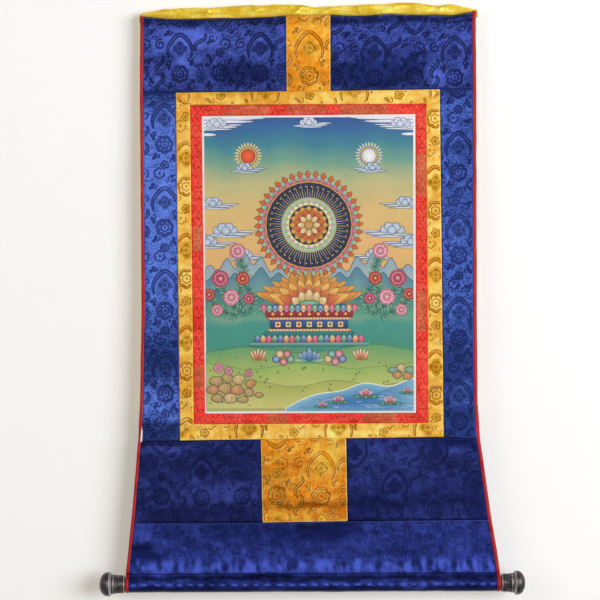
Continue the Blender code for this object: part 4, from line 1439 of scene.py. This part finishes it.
def paint_lake(art):
    shore = smooth(SHORE, closed=True, step=2.0)
    art.spot(shore, hue("2f6fa6"), hue("7fb0c4"), 8, (70, -536), hue("e9e2c0"), 1.4)
    art.rise()
    draw = np.random.default_rng(93)
    for _ in range(60):
        x, z = draw.uniform(-8, 142), draw.uniform(-548, -518)
        if z > -526 - 0.05 * (110 - x):
            continue
        wave = smooth((x, z) + WAVE * (draw.uniform(4, 10), 1))
        art.edge(wave, 0.5, (SKY_WHITE, PALE_BLUE, NIGHT)[int(draw.integers(3))], taper=True)
    art.rise()
    start = art.layer
    for x, z, size in LILIES:
        art.layer = start
        for dx, reach in ((-8, 7), (8, 7), (0, 8)):
            pad = lobes(x + dx * size, z - 2 * size, reach * size, 1, 0, 0, 0.28)
            art.spot(pad, hue("5fae84"), hue("2a7a62"), 2)
        art.rise()
        for place in (-1, 1, -0.6, 0.6, -0.25, 0.25, 0):
            tip = (x + place * 8 * size, z + (8.5 - 4 * abs(place)) * size)
            art.petal((x + place * 2 * size, z - size), tip, 4.2 * size, ROSE, hue("f4dcdc"))
            art.rise(0.25)


JEWELS = ((-46, -478), (-36, -482), (-26, -478), (26, -478), (36, -482), (46, -478), (-31, -471), (31, -471),
          (-41, -471), (41, -471))
JEWEL_TONES = (BLUE_PAINT, VERMILION, LEAF, GOLD_PAINT, ROSE)


def paint_jewels(art):
    """Pile of round jewels, shells and a bud before the stand."""
    for index, (x, z) in enumerate(JEWELS):
        tone = JEWEL_TONES[index % 5]
        art.circle(x, z, 5.2, SKY_WHITE * 0.4 + tone * 0.6, tone * 0.8)
        art.rise(0.3)
    for side in (-1, 1):
        for index in range(5):
            tip = (side * (60 + index * 5.6), -462 - 2 * abs(index - 2))
            art.petal((side * (68 + index * 1.6), -480), tip, 5.0, ORANGE, CREAM)
        art.rise()
    for place in (-1, 1, -0.55, 0.55, 0):
        art.petal((place * 3, -482), (place * 15, -462 - 8 * abs(place)), 9.5, BLUE_PAINT, PALE_BLUE)
        art.rise()
    for side in (-1, 1):
        art.petal((0, -482), (side * 22, -479), 6.0, LEAF, MINT)
    art.rise()


LEFT_ROCKS = ((-26, 4, 10), (-10, 8, 9), (6, 6, 10), (22, 0, 8), (-30, -8, 9), (-14, -6, 11), (4, -8, 10),
              (20, -12, 8), (-24, -20, 9), (-6, -20, 10), (12, -22, 8), (34, -16, 6))
RIGHT_ROCKS = ((-12, 0, 7), (0, 3, 8), (12, 0, 8), (-6, -7, 7), (8, -8, 7))


def paint_all():
    art = Painting()
    paint_backdrop(art)
    for paint in (paint_sky_corners, paint_sun_and_moon, paint_cloud_bank):
        with art.apart():
            paint(art)
    art.finish("painting_sky")
    art.over()
    paint_far_hills(art)
    art.over()
    paint_meadow(art)
    with art.apart():
        paint_bushes(art)
    art.finish("painting_hills_and_flowers")
    paint_wheel(art, 0, -292)
    paint_heart_lotus(art, 0, -292)
    paint_great_lotus(art, 0, -402)
    paint_pedestal(art, 0, -406)
    paint_jewels(art)
    paint_rocks(art, -104, -512, LEFT_ROCKS, 95)
    paint_lake(art)
    paint_rocks(art, 128, -494, RIGHT_ROCKS, 96)
    for x, z, radius in ((-126, -490, 7), (-112, -494, 6), (-84, -498, 5.5)):
        paint_peony(art, x, z, radius, PINKS)
    art.finish("painting_wheel_and_meadow")


paint_all()


# Piping

PIPING_SIDES = 12
PIPING_REST = 0.15
# Width and reach beyond the cloth's edge on each side
PIPING_SEEN = {-1: (4.8, 0.2), 1: (5.4, 0.7)}
EDGING = edging()


def closed_rows(rows, columns):
    """Point numbers of closed rows, and of the next point along each row."""
    index = np.arange(rows * columns).reshape(rows, columns)
    return index, np.roll(index, -1, axis=1)


def add_piping(name, side):
    """Folded red edging: an oval band down the edge and round the end of the sleeve."""
    hung = np.concatenate([np.arange(0.0, 18.0, 1.5), np.arange(18.0, 772.0, 3.0)])
    wrapped = np.arange(0.0, SLEEVE_LENGTH - SLEEVE_TAIL, 1.2)
    v = np.concatenate([along(TOP_EDGE, side * 233.0) - hung, SLEEVE_STITCH + 2 - wrapped])[:, None]
    width, reach = PIPING_SEEN[side]
    centre = edge_x(side, np.maximum(v, SLEEVE_STITCH)) + side * (reach - width / 2)
    angles = TAU * (np.arange(PIPING_SIDES) + 0.5) / PIPING_SIDES
    uneven = 1 + 0.05 * ripple(v, v * 0.2, 24.0, 41 + side)
    across = width / 2 * np.cos(angles) * uneven
    out = PIPING_THICKNESS / 2 * np.sin(angles) * uneven
    points = on_cloth(centre + across, v, out - FRONT + PIPING_REST)
    index, after = closed_rows(len(v), PIPING_SIDES)
    faces = quads(index[:-1], after[:-1], after[1:], index[1:]).tolist()
    faces += [index[0].tolist(), index[-1][::-1].tolist()]
    dress(mesh_object("edging_" + name, points, faces, [EDGING]), name)


add_piping("piping_left", -1)
add_piping("piping_right", 1)


# Stitching, and the strip of lining that shows beside the left edge

STITCH_LENGTH = 2.3
STITCH_PITCH = 3.3
STITCH_WOBBLE = 0.12
SEAMS = (
    # line, drop below it, panels it crosses, thread
    (TOP_EDGE, HEM_HEIGHT + 0.4, ("blue_top_left", "blue_top_right"), "blue_thread"),
    (TOP_EDGE, HEM_HEIGHT + 0.4, ("gold_top_strip",), "gold_thread"),
    (FRAME_TOP_SEAM, -2.6, ("blue_top_left", "blue_top_right"), "blue_thread"),
    (FRAME_FOOT_SEAM, 2.6, ("blue_lower_left", "blue_lower_right"), "blue_thread"),
    (FOOT_SEAM, 1.5, ("blue_foot_panel",), "blue_thread_light"),
    (((-260, SLEEVE_STITCH), (270, SLEEVE_STITCH)), -2.4, ("blue_foot_panel",), "blue_thread"),
)
THREAD_TONES = {
    "blue_thread": ((10, 18, 110), (30, 50, 260)),
    "blue_thread_light": ((26, 38, 180), (100, 140, 480)),
    "gold_thread": ((420, 180, 12), (700, 380, 50)),
}
LINING_SPAN = (-571.0, -592.0)
LINING_WIDTH = 2.4


def add_stitches():
    looks = {name: thread(name, *map(thousandths, tones)) for name, tones in THREAD_TONES.items()}
    for index, (line, drop, names, look) in enumerate(SEAMS):
        for panel in BLUE_PANELS + GOLD_PANELS + [FOOT_PANEL]:
            if panel.name not in names:
                continue
            sewn = Figure(panel, 0.8)
            draw = np.random.default_rng(panel.seed + index)
            for start in np.arange(-250.0, 260.0, STITCH_PITCH):
                x = start + np.linspace(0.0, STITCH_LENGTH, 5)
                z = along(line, x) - drop + draw.normal(0, STITCH_WOBBLE)
                sewn.line(np.stack([x, z], axis=1), 0.5, 0.2, 0.03)
            sewn.build("stitches_%d_%s" % (index, panel.name), looks[look], look.split("_")[0] + "_brocade")


def add_lining():
    """White lining that shows where the left edging has pulled away."""
    z = np.linspace(*LINING_SPAN, 16)[:, None]
    width = LINING_WIDTH * np.clip((LINING_SPAN[0] - z) / 7.0, 0.25, 1.0)
    x = edge_x(-1, z) + 4.4 + width * np.linspace(-0.5, 0.5, 4)
    lining = thread("white_lining", (0.70, 0.62, 0.62), (0.86, 0.80, 0.80))
    dress(mesh_object("lining_strip", on_cloth(x, z, 0.9), grid_faces(*x.shape), [lining]))


add_stitches()
add_lining()


# Thin silk cover

COVER_SIDES = (-234.2, 235.6)
COVER_FOOT = -566.0
COVER_SEWN_ROWS = (8.5, 5.0, 2.2, 0.6)
COVER_TURN = 3.0
COVER_BACK_Y = 10.2
COVER_SHEET = 0.5
# How far its right side is drawn in behind the scroll, and the depth at which it shows again
COVER_TUCK = 4.4
COVER_PEEP = 368.0
COVER_CREST = ((-234.2, 2.0), (-226, 5.0), (-219, 6.4), (-199, 9.4), (-165, 11.5), (-143, 10.9), (-94, 14.1),
               (-25, 15.4), (-7, 14.9), (10, 11.4), (44, 13.4), (100, 15.4), (142, 17.8), (163, 15.7),
               (179, 12.3), (197, 15.2), (211, 12.8), (228, 8.0), (235.6, 6.6))
# Sharp pleats of the bunched silk
PLEATS = (
    # middle, depth, breadth, lean
    (-212, 0.8, 7, 1.6), (-171, 0.9, 8, 2.4), (-143, 1.7, 5, 0.3), (-128, 0.9, 9, -2.8), (-92, 0.7, 8, 2.2),
    (-70, 1.5, 4, -0.4), (-52, 0.7, 9, -2), (-22, 1.8, 5, 1.1), (-10, 1, 6, -1.5), (14, 0.9, 6, 1.8),
    (44, 0.6, 9, -2.6), (72, 1.6, 4, -0.3), (96, 0.8, 9, 2.6), (131, 0.7, 9, -2.4), (160, 1, 7, 1.2),
    (180, 1.9, 5, 0.5), (192, 1.2, 6, -1.2), (212, 0.8, 7, -1.8),
)
# Creases pressed into the hanging part by folding it up, in the columns of the folds
COVER_CREASES = ((-150, 1.2, 4.6, 0, 400, 0.01), (-290, -1.2, 5.0, 0, 400, -0.01), (-432, 1.1, 4.6, 0, 400, 0))


def pleats(x, rise):
    total = np.zeros(np.broadcast(x, rise).shape)
    for middle, deep, breadth, lean in PLEATS:
        total += deep * np.exp(-np.abs(x - middle - lean * rise) / breadth)
    return total


def bunched_row(x, top, turn_z, front_y, part):
    """Height and depth of one row of the bunched front, by its share of the way to the crest."""
    z = top + (turn_z - top) * part
    crumple = 0.5 * ripple(x + 0.8 * (z - top), z * 1.3, 15.0, 54) + 0.3 * np.abs(ripple(x, z * 0.8, 8.0, 55))
    return z, front_y - pleats(x, z - top) - crumple * math.sin(math.pi * part)


def hanging_row(x, turn_z, part):
    """One row of the part that hangs behind, by its share of the way to its foot."""
    z = turn_z + (COVER_FOOT - turn_z) * part
    wave = 1.6 * np.sin(x / 38.0 + np.sin(z / 90.0) / 2) * min(1.0, 3 * part)
    fine = 0.5 * ripple(x, z * 0.25, 21.0, 52) + 0.16 * ripple(x, z, 12.0, 53)
    tucked = COVER_TUCK * np.clip(-z / 15.0, 0.0, 1.0) - 3.2 * bell(z + COVER_PEEP, 34.0)
    behind_x = x - tucked * np.clip(x / COVER_SIDES[1], 0.0, 1.0) ** 8
    return behind_x, COVER_BACK_Y + wave + fine + ridges(COVER_CREASES, x, z), z


def cover_grid():
    """Rows of the cover from its sewn edge over the crest and down behind."""
    x = np.linspace(*COVER_SIDES, 236)
    top = along(TOP_EDGE, x)
    crest = along(COVER_CREST, x) + 0.35 * ripple(x, x * 0.1, 17.0, 51)
    turn_z = np.maximum(crest - COVER_TURN, top + 0.4)
    turn_y = COVER_BACK_Y - COVER_TURN
    rows = [(x, depth(x, top - drop) + FRONT + 0.9, top - drop) for drop in COVER_SEWN_ROWS]
    start_y = rows[-1][1]
    for part in np.linspace(0.1, 1.0, 11):
        z, front = bunched_row(x, top, turn_z, turn_y - COVER_TURN, part)
        rows.append((x, start_y + (front - start_y) * min(1.0, part * 1.6), z))
    reach = COVER_TURN + pleats(x, turn_z - top)
    for part in np.linspace(0.0, 1.0, 9)[1:]:
        wide = reach if part < 0.5 else COVER_TURN + 0 * x
        angle = math.pi * part
        rows.append((x, turn_y - wide * math.cos(angle), turn_z + COVER_TURN * math.sin(angle)))
    rows += [hanging_row(x, turn_z, part) for part in np.linspace(0.0, 1.0, 76)[1:]]
    return np.stack([np.stack(row, axis=-1) for row in rows])


def cover_shade(points):
    """Painted light and shade of the cover: painted shadow beside its seam, painted shade in its pleats and painted
    highlights on its crumpled ridges.
    """
    x, z = points[..., 0], points[..., 2]
    rise = z - along(TOP_EDGE, x)
    # Painted highlights on the crumpled ridges
    light = 0.5 * np.maximum(0.0, ripple(x + 1.2 * rise, 1.5 * rise, 30.0, 56)) - 0.12
    seam_shadow = 0.7 * bell(np.maximum(0.0, rise), 1.6)
    bunched = np.exp(np.minimum(0.0, rise) / 6.0)
    # Painted shade in the pleats of the bunched part
    pleat_shade = 0.25 * np.clip(pleats(x, rise) - 0.5, 0.0, 1.2) * bunched
    total = light * (0.35 + 0.65 * bunched) - seam_shadow - pleat_shade
    return np.clip(0.5 + total / 2, 0.0, 1.0)


def add_cover():
    points = cover_grid()
    steps = np.linalg.norm(np.diff(points, axis=0), axis=2)
    down = np.concatenate([np.zeros((1, points.shape[1])), np.cumsum(steps, axis=0)])
    flat = np.stack([points[..., 0], -down], axis=-1)
    finish_sheet("silk_cover", points, flat, cover_shade(points), [SILK["yellow_cover_silk"]],
                 COVER_SHEET)


add_cover()


# Roller caps

# Distance from the inner end, and radius
CAP_PROFILE = (
    (0, 10.4), (0, 12.3), (0.3, 12.6), (1.3, 12.9), (1.8, 12.6), (2.1, 11.9), (2.9, 11.7), (3.6, 11.9),
    (4, 12.5), (4.5, 12.8), (5.1, 12.7), (5.5, 12.2), (6, 12.1), (6.6, 12.5), (8.2, 12.5), (9.8, 12.5),
    (10.2, 12.3), (10.5, 12.6), (12, 12.8), (13.6, 13.1), (14.8, 13.6), (15.4, 13.9), (16, 13.7),
    (16.4, 13.3), (17.2, 13.5), (18.2, 14.2), (19.2, 15.2), (20, 16.4), (20.5, 17), (21, 17.3), (21.5, 17.2),
    (22, 16.7), (22.4, 16.3), (22.9, 16.3), (23.2, 16.6), (23.6, 16.7), (24, 16.5),
)
DOME_START = 24.0
DOME_RADIUS = 16.5
DOME_LENGTH = 11.0
CAP_SIDES = 72
# The right cap stands a little deeper on the roller
CAP_LENGTH_SHARES = {-1: 1.0, 1: 0.95}
# Stretches of the profile in a lighter metal: a painted highlight on the flange's sloping face, and two narrow
# rings worn bright
CAP_WEAR_AND_HIGHLIGHTS = ((18.4, 21.6), (15.0, 15.9), (-1.0, 1.4))


def cap_profile():
    angles = np.linspace(0, math.pi / 2, 16)[1:-1]
    dome = [(DOME_START + DOME_LENGTH * math.sin(a), DOME_RADIUS * math.cos(a)) for a in angles]
    return np.array([*CAP_PROFILE, *dome, (DOME_START + DOME_LENGTH, 0.05)])


def turned(name, profile, inner_end, side, materials, seed):
    """Body turned about the roller's axis, a little uneven as a casting is."""
    angles = TAU * np.arange(CAP_SIDES) / CAP_SIDES
    cos, sin = np.cos(angles), np.sin(angles)
    distance, radius = profile[:, :1], profile[:, 1:]
    radius = radius * (1 + 0.004 * ripple(40 * cos, 40 * sin + distance * 2, 30.0, seed))
    x = inner_end + side * distance * CAP_LENGTH_SHARES[side] + 0 * cos
    points = np.stack([x, ROD_Y + radius * cos, ROD_Z + radius * sin], axis=-1)
    index, after = closed_rows(*x.shape)
    corners, end = [index[:-1], index[1:], after[1:], after[:-1]], index[-1]
    if side > 0:
        corners, end = corners[::-1], end[::-1]
    return mesh_object(name, points, quads(*corners).tolist() + [end.tolist()], materials)


def add_caps():
    bead = plain("worn_pewter_bead", (0.20, 0.18, 0.18), (0.62, 0.56, 0.56), (240.0, 4.0, 0.6), 0.30, 0.3,
                 Metallic=0.7)
    looks = [pewter(), bead]
    profile = cap_profile()
    middle = (profile[:-1, 0] + profile[1:, 0]) / 2
    # Faces in these stretches take the lighter metal
    bright = np.any([(middle > low) & (middle < high) for low, high in CAP_WEAR_AND_HIGHLIGHTS], axis=0)
    slots = np.append(np.repeat(bright, CAP_SIDES), False).astype(np.int32)
    for name, side, inner_end in (("roller_cap_left", -1, CAP_LEFT), ("roller_cap_right", 1, CAP_RIGHT)):
        item = turned("turned_" + name, profile, inner_end, side, looks, 60 + side)
        item.data.polygons.foreach_set("material_index", slots)
        dress(item, name)


add_caps()
ROD_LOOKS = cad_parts["roller_rod"].data.materials
ROD_LOOKS.clear()
ROD_LOOKS.append(plain("roller_wood_grain", (0.16, 0.08, 0.035), (0.36, 0.21, 0.10),
                       (60.0, 5.0, 0.6, (0.08, 1.0, 1.0)), 0.45, 0.3, (0.3, 0.0004)))


# Stage, lights and camera

SCALE = 1.39
PHOTO_MIDDLE = (-12.75, -396.1)
PHOTO_WIDTH = 600 * SCALE
CAMERA_DISTANCE = 2600.0
CAMERA_ROLL = 0.0041
STAGE_WARMTH = (1.0, 0.90, 0.66)
STAGE_GLOW = 0.38
STAGE_REACH = 2500
FLOOR_Z = -1000


def stage_material(name, shade, one_sided=False):
    look = Look(name)
    base = look.blend(look.noise(look.places(), 40.0, 3.0, 0.5), scaled(shade, 0.97), shade)
    glow = [value * warm for value, warm in zip(shade, STAGE_WARMTH)]
    material = look.finish(base, 0.9, Emission_Color=glow, Emission_Strength=STAGE_GLOW)
    if one_sided:
        back = look.node("ShaderNodeNewGeometry", {})["Backfacing"]
        clear = look.node("ShaderNodeBsdfTransparent", {})[0]
        both = look.node("ShaderNodeMixShader", {0: back, 1: look.shader.outputs[0], 2: clear})[0]
        look.wire(look.tree.nodes["Material Output"], {"Surface": both})
    return material


def stage_plane(name, near, far, material):
    """Plane across the stage between two edges, each given by its y and z."""
    ends = ((-STAGE_REACH, near), (STAGE_REACH, near), (STAGE_REACH, far), (-STAGE_REACH, far))
    mesh_object(name, [(x, *edge) for x, edge in ends], [(0, 1, 2, 3)], [material])


def add_stage():
    stage_plane("wall", (36, FLOOR_Z), (-11, 1800), stage_material("plain_wall", (0.74, 0.745, 0.77), True))
    stage_plane("floor", (-3000, FLOOR_Z), (2000, FLOOR_Z), stage_material("plain_floor", (0.14, 0.14, 0.14)))


def area_light(name, place, size, power, tint=(1, 1, 1)):
    """Round light that faces the scroll's middle."""
    data = bpy.data.lights.new(name, "AREA")
    data.shape = "DISK"
    data.size = size
    data.energy = power
    data.color = tint
    item = bpy.data.objects.new(name, data)
    item.location = place
    item.rotation_mode = "QUATERNION"
    item.rotation_quaternion = (Vector((0.0, 0.0, -0.42)) - Vector(place)).to_track_quat("-Z", "Y")
    bpy.context.collection.objects.link(item)


def add_lights():
    area_light("window", (2.8, -3.2, -0.32), 3.1, 202, (0.95, 0.985, 1.06))
    area_light("fill", (-1.9, -1.9, 0.1), 1.6, 14)
    area_light("behind", (0.8, 2.4, 0.6), 1.8, 45)
    world = bpy.data.worlds.new("studio")
    world.use_nodes = True
    background = world.node_tree.nodes["Background"]
    background.inputs["Color"].default_value = (1.0, 0.95, 0.88, 1.0)
    background.inputs["Strength"].default_value = 0.26
    bpy.context.scene.world = world


def add_camera():
    data = bpy.data.cameras.new("camera")
    data.sensor_width = 36.0
    data.lens = data.sensor_width * CAMERA_DISTANCE / PHOTO_WIDTH
    data.clip_start, data.clip_end = 0.1, 50.0
    item = bpy.data.objects.new("camera", data)
    item.location = (PHOTO_MIDDLE[0] * MM, -CAMERA_DISTANCE * MM, PHOTO_MIDDLE[1] * MM)
    item.rotation_euler = (math.pi / 2, CAMERA_ROLL, 0)
    bpy.context.collection.objects.link(item)
    bpy.context.scene.camera = item


add_stage()
add_lights()
add_camera()
bpy.context.scene.view_settings.view_transform = "Standard"
